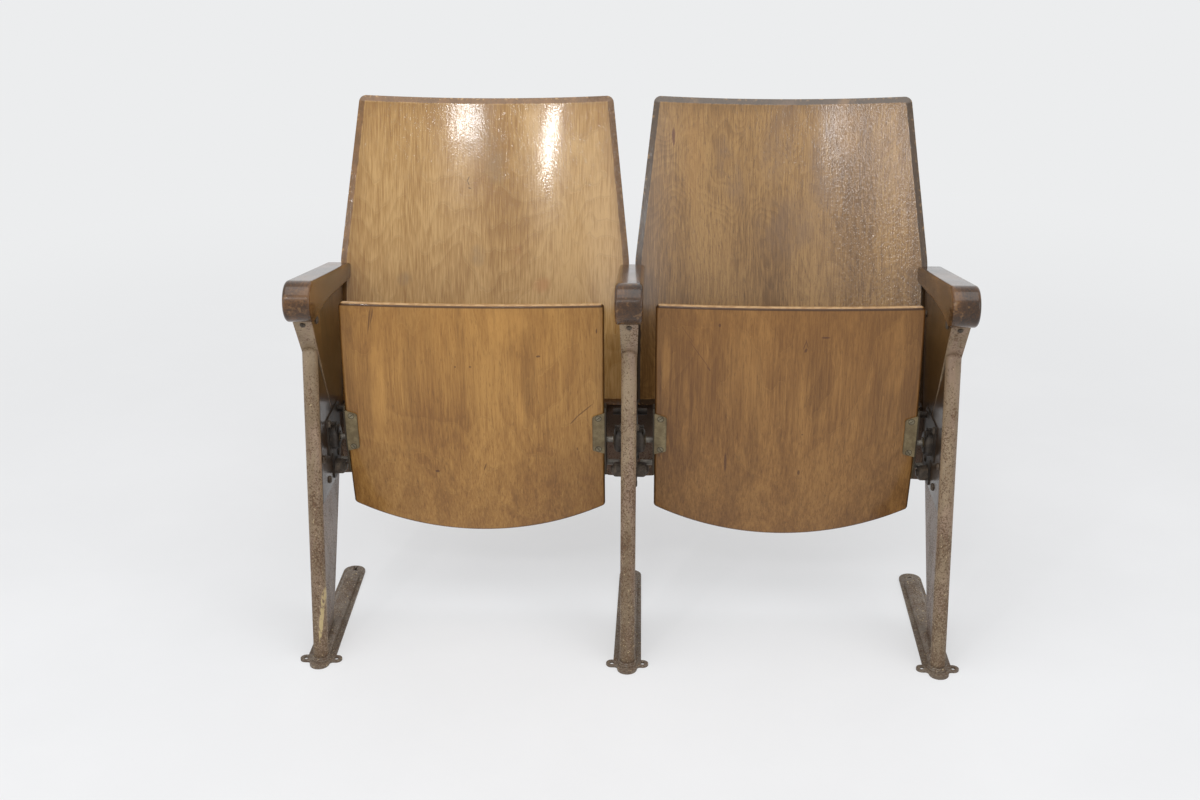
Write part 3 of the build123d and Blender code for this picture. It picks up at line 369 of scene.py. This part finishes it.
def make_left_back():
    """Golden veneer with grey and red stains, a scratched hook and a pitted right rim."""
    golden = (srgb(149, 110, 62), srgb(170, 132, 80), srgb(191, 154, 101))
    grey = srgb(142, 116, 84)
    red = srgb(172, 116, 68)
    s, colour, fibres, flecks, rim = back_material(
        "left", golden, srgb(98, 68, 38), 3.1, rings=17.0, calm_above=0.66, straight=0.1, pore=0.16
    )
    for places, tint, share in (
        ([(-0.277, 0.592, 0.013, 0.016, 0.0), (-0.406, 0.557, 0.012, 0.011, 0.0)], grey, 0.7),
        ([(-0.27, 0.80, 0.035, 0.045, 0.1), (-0.245, 0.74, 0.02, 0.03, 0.0)], grey, 0.5),
        ([(-0.2085, 0.594, 0.009, 0.016, 0.0), (-0.162, 0.545, 0.014, 0.012, 0.4)], red, 0.5),
    ):
        colour = stained(s, colour, places, tint, share)
    hook = spots(
        s,
        [
            (-0.2948, 0.7205, 0.0011, 0.0042, 0.45),
            (-0.2946, 0.7135, 0.0011, 0.0035, -0.5),
            (-0.2922, 0.7050, 0.0024, 0.0014, -0.8),
        ],
        0.3,
    )
    colour = s.mix(s.times(hook, 0.75), colour, srgb(86, 66, 40))
    pitted = s.times(s.step(rim, 0.016, 0.004), s.step(s.x, -0.1, -0.06))
    lumps = s.times(s.noise(s.place, scale=210, detail=3, rough=0.7), pitted)
    colour = s.mix(s.times(pitted, 0.45), colour, srgb(86, 62, 42))
    relief = s.times(lumps, 3.0)
    return lacquer(s, colour, fibres, flecks, 0.14, 0.45, extra=relief, coat=0.45, blur=0.08)


def make_right_back():
    """Brown veneer with smoky clouds, pale streaks, dark dashes and lacquer like orange peel."""
    brown = (srgb(110, 78, 40), srgb(137, 102, 58), srgb(163, 126, 76))
    s, colour, fibres, flecks, _ = back_material(
        "right", brown, srgb(46, 32, 18), 7.7, rings=30.0, straight=0.16, pore=0.45
    )
    clouds = [
        (0.2586, 0.79, 0.028, 0.07, 0.2),
        (0.345, 0.77, 0.03, 0.085, 0.15),
        (0.171, 0.735, 0.018, 0.055, -0.3),
        (0.27, 0.64, 0.05, 0.05, 0.0),
    ]
    colour = stained(s, colour, clouds, srgb(118, 92, 70), 0.5)
    streaks = [(0.105, 0.77, 0.02, 0.09, 0.0), (0.375, 0.81, 0.02, 0.05, 0.0)]
    colour = stained(s, colour, streaks, srgb(172, 130, 76), 0.4)
    marks = spots(s, [(0.0702, 0.800, 0.0028, 0.012, 0.0), (0.0712, 0.789, 0.0016, 0.006, 0.1)], 0.5)
    colour = s.mix(s.times(marks, 0.8), colour, srgb(92, 52, 32))
    dashes = s.step(s.noise(s.mapped((420, 420, 90), shift=(5, 0, 0)), detail=2), 0.6, 0.68)
    colour = s.mix(s.times(dashes, 0.3), colour, srgb(88, 64, 40))
    orange_peel = s.step(s.x, 0.30, 0.40)
    relief = s.times(s.noise(s.mapped((300, 300, 120)), detail=2.5, rough=0.6), orange_peel)
    return lacquer(s, colour, fibres, flecks, 0.26, 0.5, extra=relief, coat=0.8, blur=0.15)


def seat_material(seat, palette, seed, scratches, nicks, pale_streaks):
    """Satin seat veneer with a painted highlight along the top edge over a dark line, scratches, nicks
    and old dirt.
    """
    s, colour, fibres, flecks = veneer("seat_veneer_" + seat, palette, seed, rings=7.0, pore=0.4)
    dark, mid, light = palette
    across = s.absolute(s.less(s.x, SEAT_X[seat]))
    side = s.less(SEAT_HALF, across)
    top = s.less(SEAT_TOP, s.z)
    share = s.math("POWER", s.times(across, 1 / SEAT_HALF), 2.0)
    low = s.less(s.z, s.less(SEAT_CORNER, s.times(s.less(1.0, share), SEAT_TAIL)))
    worn = s.noise(s.place, scale=90, detail=3)
    warm = s.step(s.z, 0.42, 0.60)
    colour = s.mix(s.times(warm, 0.3), colour, shade(mid, 1.15))
    dirt = s.step(s.noise(s.mapped((26, 26, 3), shift=(seed, 0, 0)), detail=4, rough=0.6), 0.5, 0.75)
    colour = s.mix(s.times(dirt, 0.3), colour, shade(dark, 0.72))
    streak = s.noise(s.mapped((190, 190, 6), shift=(seed, 2, 0)), detail=3, rough=0.6)
    colour = s.mix(s.times(s.step(streak, 0.56, 0.7), 0.3), colour, shade(dark, 0.62))
    colour = stained(s, colour, pale_streaks, shade(light, 1.18), 0.55)
    rim = s.add(s.smallest(side, low), s.times(s.less(worn, 0.5), 0.002))
    colour = s.mix(s.times(s.step(rim, 0.0045, 0.0008), 0.7), colour, srgb(74, 46, 22))
    groove = s.times(s.step(top, 0.0010, 0.0016), s.step(top, 0.0054, 0.0042))
    colour = s.mix(s.times(groove, 0.85), colour, srgb(58, 35, 17))
    # painted highlight: a pale line along the seat's rounded top edge, where it catches the light
    edge_highlight = s.step(top, 0.0011, 0.0006)
    edge_highlight_colour = s.mix(s.step(worn, 0.4, 0.6), srgb(170, 132, 88), srgb(196, 160, 114))
    colour = s.mix(s.times(edge_highlight, 0.8), colour, edge_highlight_colour)
    colour = s.mix(s.times(spots(s, scratches, 0.5), 0.75), colour, srgb(92, 58, 28))
    colour = s.mix(s.times(spots(s, nicks, 0.5), 0.75), colour, srgb(78, 46, 24))
    return lacquer(s, colour, fibres, flecks, 0.36, 0.3)


def make_left_seat():
    return seat_material(
        "left",
        palette=(srgb(129, 87, 38), srgb(153, 109, 52), srgb(173, 128, 66)),
        seed=4.4,
        scratches=[
            (-0.0765, 0.407, 0.0016, 0.013, 1.15),
            (-0.0925, 0.391, 0.0014, 0.007, 0.9),
            (-0.4275, 0.563, 0.0012, 0.019, 0.12),
            (-0.4225, 0.571, 0.0010, 0.012, 0.2),
        ],
        nicks=[
            (-0.2874, 0.4875, 0.0016, 0.0012, 0.0),
            (-0.2626, 0.4878, 0.0022, 0.0012, 0.0),
            (-0.0545, 0.548, 0.0012, 0.004, 0.0),
            (-0.1501, 0.5063, 0.0035, 0.0018, 0.3),
            (-0.327, 0.291, 0.0035, 0.0025, 0.0),
            (-0.245, 0.301, 0.001, 0.007, 0.3),
            (-0.088, 0.336, 0.001, 0.003, 0.0),
        ],
        pale_streaks=[
            (-0.420, 0.45, 0.012, 0.10, 0.05),
            (-0.182, 0.411, 0.006, 0.03, 0.0),
            (-0.2, 0.56, 0.03, 0.03, 0.0),
        ],
    )


def make_right_seat():
    return seat_material(
        "right",
        palette=(srgb(106, 69, 29), srgb(129, 89, 42), srgb(150, 108, 56)),
        seed=9.2,
        scratches=[
            (0.1135, 0.512, 0.0008, 0.023, -0.72),
            (0.094, 0.545, 0.0006, 0.014, -0.7),
            (0.130, 0.487, 0.0016, 0.004, -0.6),
        ],
        nicks=[
            (0.2867, 0.5215, 0.0022, 0.0035, 0.3),
            (0.2880, 0.533, 0.0007, 0.007, -0.3),
            (0.2845, 0.530, 0.0007, 0.007, 0.35),
            (0.3181, 0.5432, 0.007, 0.0016, 0.0),
            (0.1461, 0.5617, 0.002, 0.003, 0.0),
            (0.286, 0.297, 0.0022, 0.005, 0.0),
            (0.162, 0.315, 0.0022, 0.018, 0.0),
            (0.288, 0.371, 0.0014, 0.0014, 0.0),
        ],
        pale_streaks=[
            (0.0605, 0.50, 0.006, 0.05, 0.0),
            (0.094, 0.40, 0.006, 0.08, 0.0),
            (0.438, 0.51, 0.010, 0.06, 0.0),
        ],
    )


def make_board_wood():
    """Brown stained side boards that turn nearly black towards the hinges."""
    palette = (srgb(58, 39, 19), srgb(80, 55, 27), srgb(108, 77, 38))
    s, colour, fibres, flecks = veneer("board_veneer", palette, 5.9, pore=0.5)
    # darker towards the bottom: the side boards turn nearly black low down
    board_darker_low = s.step(s.z, BOARD_DARK_GONE, BOARD_DARK_FULL)
    colour = s.mix(s.times(board_darker_low, 0.78), colour, srgb(38, 26, 16))
    dirt = s.step(s.noise(s.place, scale=40, detail=4, rough=0.65), 0.5, 0.7)
    colour = s.mix(s.times(dirt, 0.3), colour, srgb(58, 40, 24))
    return lacquer(s, colour, fibres, flecks, 0.24, 0.4)


def make_arm_wood():
    """Dark glossy solid wood, its grain along the arm, rubbed paler at the nose."""
    s = Shader("arm_wood")
    patch = s.noise(s.mapped((24, 7, 24)), detail=3, rough=0.55)
    fibres = s.noise(s.mapped((420, 12, 420)), detail=3, rough=0.65)
    tone = s.add(s.times(patch, 0.66), s.times(fibres, 0.34))
    colour = s.ramp(tone, (0.38, srgb(44, 27, 12)), (0.5, srgb(70, 45, 22)), (0.62, srgb(104, 70, 36)))
    flecks = s.step(s.noise(s.mapped((900, 40, 900)), detail=1), 0.6, 0.7)
    colour = s.mix(s.times(flecks, 0.35), colour, srgb(42, 27, 17))
    rubbed = s.times(s.step(s.noise(s.place, scale=100, detail=5), 0.58, 0.7), s.step(s.y, 0.12, 0.03))
    colour = s.mix(s.times(rubbed, 0.35), colour, srgb(150, 112, 70))
    return lacquer(s, colour, fibres, flecks, 0.16, 0.22, coat=0.4, blur=0.05)


# ================================================================ metal
def enamel(name, base, light, warm, speckle):
    """Old enamel: tone drifts, dense dark rust specks that gather downwards, pale chips.

    Gives the shader, its colour and what finish_enamel makes the relief from."""
    s = Shader(name)
    cloud = s.noise(s.mapped((22, 22, 9)), detail=4, rough=0.6)
    blush = s.noise(s.mapped((60, 60, 5), shift=(3, 1, 0)), detail=2)
    grit = s.noise(s.place, scale=460, detail=3, rough=0.7)
    colour = s.mix(s.step(cloud, 0.34, 0.68), base, light)
    colour = s.mix(s.times(s.step(blush, 0.45, 0.65), 0.4), colour, warm)
    colour = s.mix(s.times(s.step(grit, 0.45, 0.7), 0.3), colour, shade(base, 0.62))
    low = s.step(s.z, 0.46, 0.02, smooth=False)
    field = s.add(
        s.times(s.noise(s.place, scale=330, detail=4, rough=0.7), 0.75),
        s.times(s.noise(s.mapped((34, 34, 16)), detail=3, rough=0.6), 0.3),
    )
    field = s.add(field, s.times(low, 0.055 + speckle))
    rust = s.step(field, 0.56, 0.605)
    tint = s.ramp(
        s.noise(s.place, scale=640, detail=3),
        (0.35, srgb(58, 40, 28)),
        (0.52, srgb(88, 62, 42)),
        (0.68, srgb(122, 88, 58)),
    )
    colour = s.mix(s.times(rust, 0.8), colour, tint)
    pale = s.add(s.noise(s.place, scale=240, detail=4, rough=0.65), s.times(low, 0.05))
    # darker towards the floor, over the lowest 0.3 m
    toward_floor = s.step(s.z, 0.3, 0.0, smooth=False)
    colour = s.mix(s.times(toward_floor, 0.45), colour, shade(base, 0.6))
    chips = s.step(pale, 0.665, 0.70)
    colour = s.mix(s.times(chips, 0.75), colour, srgb(190, 170, 134))
    return s, colour, (rust, chips, cloud, grit)


def finish_enamel(s, colour, wear, rough):
    rust, chips, cloud, grit = wear
    height = s.less(s.add(s.times(cloud, 0.5), s.times(grit, 0.12)), s.times(s.add(rust, chips), 0.22))
    normal = s.bump(height, 0.0006, 0.8)
    roughness = s.add(s.add(rough, s.times(rust, 0.3)), s.times(s.less(grit, 0.5), 0.2))
    return s.set(Base_Color=colour, Roughness=roughness, Normal=normal, Specular_IOR_Level=METAL_SPECULAR)


def make_frame_enamel():
    """The legs' and straps' paint, with a bare patch on the left leg and a dirty foot joint."""
    s, colour, wear = enamel(
        "frame_enamel", srgb(122, 103, 80), srgb(150, 131, 106), srgb(148, 122, 108), 0.02
    )
    bare = spots(s, [(-0.5105, 0.112, 0.0038, 0.016, 0.15), (-0.5150, 0.075, 0.0034, 0.036, 0.1)], 0.5)
    ragged = s.step(s.noise(s.mapped((200, 200, 90)), detail=4), 0.4, 0.52)
    colour = s.mix(s.times(s.times(bare, ragged), 0.8), colour, srgb(190, 170, 124))
    joint = s.step(s.z, 0.0155, 0.0065)
    colour = s.mix(s.times(joint, 0.75), colour, srgb(52, 38, 28))
    return finish_enamel(s, colour, wear, 0.42)


def make_web_enamel():
    """Smoother paint on webs and uprights, with painted shade darkening them from the hinges up."""
    s, colour, wear = enamel(
        "web_enamel", srgb(108, 93, 81), srgb(132, 116, 104), srgb(128, 107, 98), -0.035
    )
    # painted shade: the webs and uprights darken above the hinges, where the seats and arms shade them
    painted_shade_above_hinges = s.step(s.z, 0.27, 0.33)
    colour = s.mix(s.times(painted_shade_above_hinges, 0.75), colour, srgb(48, 38, 30))
    return finish_enamel(s, colour, wear, 0.36)


def make_foot_enamel():
    s, colour, wear = enamel(
        "foot_enamel", srgb(110, 97, 83), srgb(140, 127, 112), srgb(124, 110, 99), -0.012
    )
    return finish_enamel(s, colour, wear, 0.46)


def worn_steel(name, base, light, rough, metallic, oil):
    """Handled steel: scratches, a dark oily film and pits; gives shader, colour and the rest."""
    s = Shader(name)
    brushed = s.noise(s.mapped((260, 260, 1400)), detail=3, rough=0.6)
    film = s.noise(s.place, scale=60, detail=4, rough=0.65)
    colour = s.mix(s.step(film, 0.35, 0.7), base, light)
    colour = s.mix(s.times(s.step(brushed, 0.45, 0.8), 0.35), colour, shade(base, 0.55))
    pits = s.step(s.noise(s.place, scale=520, detail=3, rough=0.7), 0.6, 0.7)
    colour = s.mix(s.times(pits, oil), colour, srgb(44, 34, 26))
    normal = s.bump(s.less(s.times(brushed, 0.3), s.times(pits, 0.5)), 0.00025, 0.8)
    roughness = s.add(rough, s.times(film, 0.2))
    rest = {
        "Roughness": roughness,
        "Normal": normal,
        "Metallic": metallic,
        "Specular_IOR_Level": METAL_SPECULAR,
    }
    return s, colour, rest


def steel(*values):
    s, colour, rest = worn_steel(*values)
    return s.set(Base_Color=colour, **rest)


def make_plate_steel():
    """The seat plates' dull steel, with painted shade turning the cheek black, and a dark ring round each
    screw.
    """
    s, colour, rest = worn_steel("plate_steel", srgb(112, 97, 70), srgb(142, 127, 95), 0.45, 0.1, 0.5)
    across = s.absolute(s.less(s.absolute(s.x), SEAT_X["right"]))
    # painted shade: the cheek, in the gap between the seat and the standard, darkened nearly to black
    shaded_cheek = s.step(across, SEAT_HALF - 0.0004, SEAT_HALF + 0.0006)
    colour = s.mix(s.times(shaded_cheek, 0.85), colour, srgb(38, 31, 26))
    # a dark ring round each screw head
    for height in SCREW_HEIGHTS:
        sideways = s.math("POWER", s.less(across, SCREW_ACROSS), 2.0)
        upwards = s.math("POWER", s.less(s.z, height), 2.0)
        reach = s.math("SQRT", s.add(sideways, upwards))
        ring = s.step(reach, SCREW_HEAD + 0.0016, SCREW_HEAD + 0.0002)
        colour = s.mix(s.times(ring, 0.9), colour, srgb(40, 33, 25))
    border = s.step(across, SEAT_HALF - 0.0172, SEAT_HALF - 0.0196)
    colour = s.mix(s.times(border, 0.4), colour, srgb(70, 60, 44))
    return s.set(Base_Color=colour, **rest)


def make_rubber():
    s = Shader("buffer_rubber")
    dust = s.noise(s.place, scale=130, detail=5, rough=0.7)
    colour = s.mix(s.step(dust, 0.42, 0.75), srgb(70, 60, 50), srgb(116, 99, 80))
    cracks = s.step(s.cell_edges(s.place, 420), 0.06, 0.0)
    colour = s.mix(s.times(cracks, 0.6), colour, srgb(20, 18, 16))
    normal = s.bump(s.less(dust, cracks), 0.0003, 0.7)
    return s.set(Base_Color=colour, Roughness=0.6, Normal=normal)


# ================================================================ assign
def dress():
    """Give every solid its material, by the longest listed name that its own starts with."""
    left_back = make_left_back()
    right_back = make_right_back()
    left_seat = make_left_seat()
    right_seat = make_right_seat()
    boards = make_board_wood()
    frame_paint = make_frame_enamel()
    web_paint = make_web_enamel()
    hinge = steel("hinge_steel", srgb(38, 32, 27), srgb(70, 60, 50), 0.4, 0.15, 0.5)
    pin = steel("pin_steel", srgb(112, 106, 98), srgb(150, 144, 134), 0.32, 0.6, 0.25)
    bolt = steel("bolt_steel", srgb(62, 53, 44), srgb(98, 86, 73), 0.42, 0.3, 0.5)
    chosen = {
        "leg_tube": frame_paint,
        "strap": frame_paint,
        "back_upright": web_paint,
        "web_plate": web_paint,
        "core_plate": web_paint,
        "foot": make_foot_enamel(),
        "front_boards": boards,
        "rear_boards": boards,
        "armrest": make_arm_wood(),
        "backrest_left": left_back,
        "backrest_right": right_back,
        "seat_panel_left": left_seat,
        "seat_panel_right": right_seat,
        "hinge_bracket": hinge,
        "seat_bracket": make_plate_steel(),
        "pivot_pin": pin,
        "stop_pins": pin,
        "spring": steel("spring_steel", srgb(44, 40, 36), srgb(86, 80, 72), 0.3, 0.5, 0.4),
        "pivot_bushes": steel("bush_brass", srgb(64, 52, 34), srgb(98, 82, 52), 0.4, 0.5, 0.4),
        "stop_buffers": make_rubber(),
        "standard_bolts": bolt,
        "backrest_screws": bolt,
        "armrest_screws": bolt,
        "seat_screws": steel("screw_steel", srgb(112, 102, 82), srgb(150, 140, 114), 0.38, 0.3, 0.3),
    }
    for node, item in NODES.items():
        family = max((name for name in chosen if node.startswith(name)), key=len)
        item.data.materials.clear()
        item.data.materials.append(chosen[family])
    return chosen


# ================================================================ small pieces
def tube_along(name, path, radii, material, closed=False):
    """A tube round a list of points, with its own radius at each of them."""
    made = bmesh.new()
    rings = []
    for index, point in enumerate(path):
        before = path[index - 1] if closed or index else point
        after = path[(index + 1) % len(path)] if closed or index + 1 < len(path) else point
        ahead = (after - before).normalized()
        if rings:
            first = (first - ahead * first.dot(ahead)).normalized()
        else:
            first = ahead.orthogonal().normalized()
        second = ahead.cross(first)
        ring = []
        for side in range(TUBE_SIDES):
            angle = 2 * math.pi * side / TUBE_SIDES
            outward = math.cos(angle) * first + math.sin(angle) * second
            ring.append(made.verts.new(point + radii[index] * outward))
        rings.append(ring)
    pairs = list(zip(rings, rings[1:]))
    if closed:
        pairs.append((rings[-1], rings[0]))
    for ring, following in pairs:
        for side in range(TUBE_SIDES):
            beside = (side + 1) % TUBE_SIDES
            made.faces.new((ring[side], ring[beside], following[beside], following[side]))
    if not closed:
        made.faces.new(list(reversed(rings[0])))
        made.faces.new(rings[-1])
    for face in made.faces:
        face.smooth = True
    mesh = bpy.data.meshes.new(name)
    made.to_mesh(mesh)
    made.free()
    mesh.materials.append(material)
    piece = bpy.data.objects.new(name, mesh)
    bpy.context.scene.collection.objects.link(piece)
    return piece


def leg_point(x, height, behind, beside):
    """A point near the axis of the leg that stands at x, behind and beside that axis."""
    return Vector((x + beside, height * math.tan(LEG_LEAN) + behind, height))


def make_foot_bead(name, x, paint):
    """A lumpy weld round the foot of one leg."""
    path = []
    radii = []
    out = LEG_RADIUS + WELD_LIFT
    for step in range(WELD_STEPS):
        angle = 2 * math.pi * step / WELD_STEPS
        behind = out / math.cos(LEG_LEAN) * math.sin(angle)
        path.append(leg_point(x, COLLAR_TOP, behind, out * math.cos(angle)))
        radii.append(WELD_RADIUS * random.uniform(*WELD_LUMPS))
    bead = tube_along("weld_foot_" + name, path, radii, paint, closed=True)
    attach(bead, "frame")


def make_stitch(label, x, side, start, paint):
    """A short weld that tapers at both ends, in the corner between one leg and its web."""
    path = []
    radii = []
    behind = LEG_RADIUS / math.cos(LEG_LEAN)
    for step in range(STITCH_STEPS + 1):
        share = step / STITCH_STEPS
        path.append(leg_point(x, start + STITCH_LENGTH * share, behind, side * STITCH_SIDE))
        taper = STITCH_END + (1.0 - STITCH_END) * math.sin(math.pi * share)
        radii.append(WELD_RADIUS * taper * random.uniform(*WELD_LUMPS))
    bead = tube_along(label, path, radii, paint)
    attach(bead, "frame")


def make_welds(paint):
    for name, x in STANDARD_X.items():
        make_foot_bead(name, x, paint)
        for end, side in (("left", -1), ("right", 1)):
            for number, start in enumerate(STITCHES, 1):
                make_stitch(f"weld_web_{name}_{end}_{number}", x, side, start, paint)


def make_prongs(paint):
    """Two rusty nail ends that stand bent in the left foot's rear hole."""
    foot = Vector(PRONG_AT)
    for label, (lean_x, lean_y) in PRONG_LEANS.items():
        path = []
        radii = []
        for step in range(PRONG_STEPS + 1):
            share = step / PRONG_STEPS
            bend = share * share
            path.append(foot + PRONG_HEIGHT * Vector((lean_x * bend, lean_y * bend, share)))
            radii.append(PRONG_RADIUS * (1.0 - PRONG_TAPER * share))
        prong = tube_along("nail_end_" + label, path, radii, paint)
        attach(prong, "frame")


# ================================================================ stage
def make_camera():
    flat = math.cos(CAMERA_PITCH)
    forward = Vector((math.sin(CAMERA_YAW) * flat, math.cos(CAMERA_YAW) * flat, -math.sin(CAMERA_PITCH)))
    level = Vector((math.cos(CAMERA_YAW), -math.sin(CAMERA_YAW), 0.0))
    upward = level.cross(forward)
    right = math.cos(CAMERA_ROLL) * level + math.sin(CAMERA_ROLL) * upward
    top = -math.sin(CAMERA_ROLL) * level + math.cos(CAMERA_ROLL) * upward
    data = bpy.data.cameras.new("camera")
    data.lens = CAMERA_LENS
    data.sensor_width = SENSOR_WIDTH
    camera = bpy.data.objects.new("camera", data)
    bpy.context.scene.collection.objects.link(camera)
    turn = Matrix((right, top, -forward)).transposed().to_4x4()
    camera.matrix_world = Matrix.Translation(CAMERA_AT) @ turn
    bpy.context.scene.camera = camera


def make_lights():
    for name, at, towards, size, watts, roll in LAMPS:
        data = bpy.data.lights.new(name, "AREA")
        data.shape = "RECTANGLE"
        data.size, data.size_y = size
        data.energy = watts
        lamp = bpy.data.objects.new(name, data)
        bpy.context.scene.collection.objects.link(lamp)
        lamp.location = at
        aim = (Vector(towards) - Vector(at)).to_track_quat("-Z", "Y")
        lamp.rotation_euler = (aim @ Quaternion((0.0, 0.0, 1.0), math.radians(roll))).to_euler()


def make_world():
    """Even light; the camera, reflections and anything clear see the same pale room."""
    world = bpy.data.worlds.new("studio")
    bpy.context.scene.world = world
    world.use_nodes = True
    tree = world.node_tree
    tree.nodes.clear()
    path = tree.nodes.new("ShaderNodeLightPath")
    light = tree.nodes.new("ShaderNodeBackground")
    light.inputs["Color"].default_value = WORLD_TINT
    light.inputs["Strength"].default_value = WORLD_LIGHT
    seen = tree.nodes.new("ShaderNodeBackground")
    seen.inputs["Color"].default_value = (*srgb(*ROOM_SCREEN), 1.0)
    seen.inputs["Strength"].default_value = 1.0
    mixed = light.outputs[0]
    for ray in SEEN_BY:
        blend = tree.nodes.new("ShaderNodeMixShader")
        tree.links.new(path.outputs[ray], blend.inputs[0])
        tree.links.new(mixed, blend.inputs[1])
        tree.links.new(seen.outputs[0], blend.inputs[2])
        mixed = blend.outputs[0]
    output = tree.nodes.new("ShaderNodeOutputWorld")
    tree.links.new(mixed, output.inputs["Surface"])


def make_floor():
    """A large pale floor that keeps the object's shadow and fades into the room far off."""
    mesh = bpy.data.meshes.new("floor")
    corners = [(x * FLOOR_HALF, y * FLOOR_HALF, 0) for x, y in ((-1, -1), (1, -1), (1, 1), (-1, 1))]
    mesh.from_pydata(corners, [], [(0, 1, 2, 3)])
    floor = bpy.data.objects.new("floor", mesh)
    bpy.context.scene.collection.objects.link(floor)
    s = Shader("floor_paint")
    scuff = s.noise(s.place, scale=2.2, detail=5, rough=0.6)
    speck = s.noise(s.place, scale=90, detail=3, rough=0.6)
    colour = s.mix(s.step(scuff, 0.35, 0.7), srgb(231, 231, 232), srgb(236, 236, 237))
    colour = s.mix(s.times(s.step(speck, 0.68, 0.75), 0.12), colour, srgb(190, 186, 182))
    s.set(Base_Color=colour, Roughness=0.6)
    distance = s.math("SQRT", s.add(s.math("POWER", s.x, 2.0), s.math("POWER", s.y, 2.0)))
    path = s.node("ShaderNodeLightPath").outputs
    seen = s.largest(*(path[ray] for ray in SEEN_BY))
    far = s.node("ShaderNodeEmission")
    far.inputs["Color"].default_value = (*srgb(*ROOM_SCREEN), 1.0)
    far.inputs["Strength"].default_value = 1.0
    blend = s.node("ShaderNodeMixShader")
    share = s.add(s.times(s.step(distance, FADE_START, FADE_END), 1.0 - FADE_NEAR), FADE_NEAR)
    s.feed(blend.inputs[0], s.times(seen, share))
    s.tree.links.new(s.surface.outputs[0], blend.inputs[1])
    s.tree.links.new(far.outputs[0], blend.inputs[2])
    s.tree.links.new(blend.outputs[0], s.output.inputs["Surface"])
    mesh.materials.append(s.material)


# ================================================================ put together
random.seed(SEED)
make_camera()
make_lights()
make_world()
make_floor()
paints = dress()
make_welds(paints["foot"])
make_prongs(paints["standard_bolts"])

bpy.context.scene.view_settings.view_transform = "Standard"
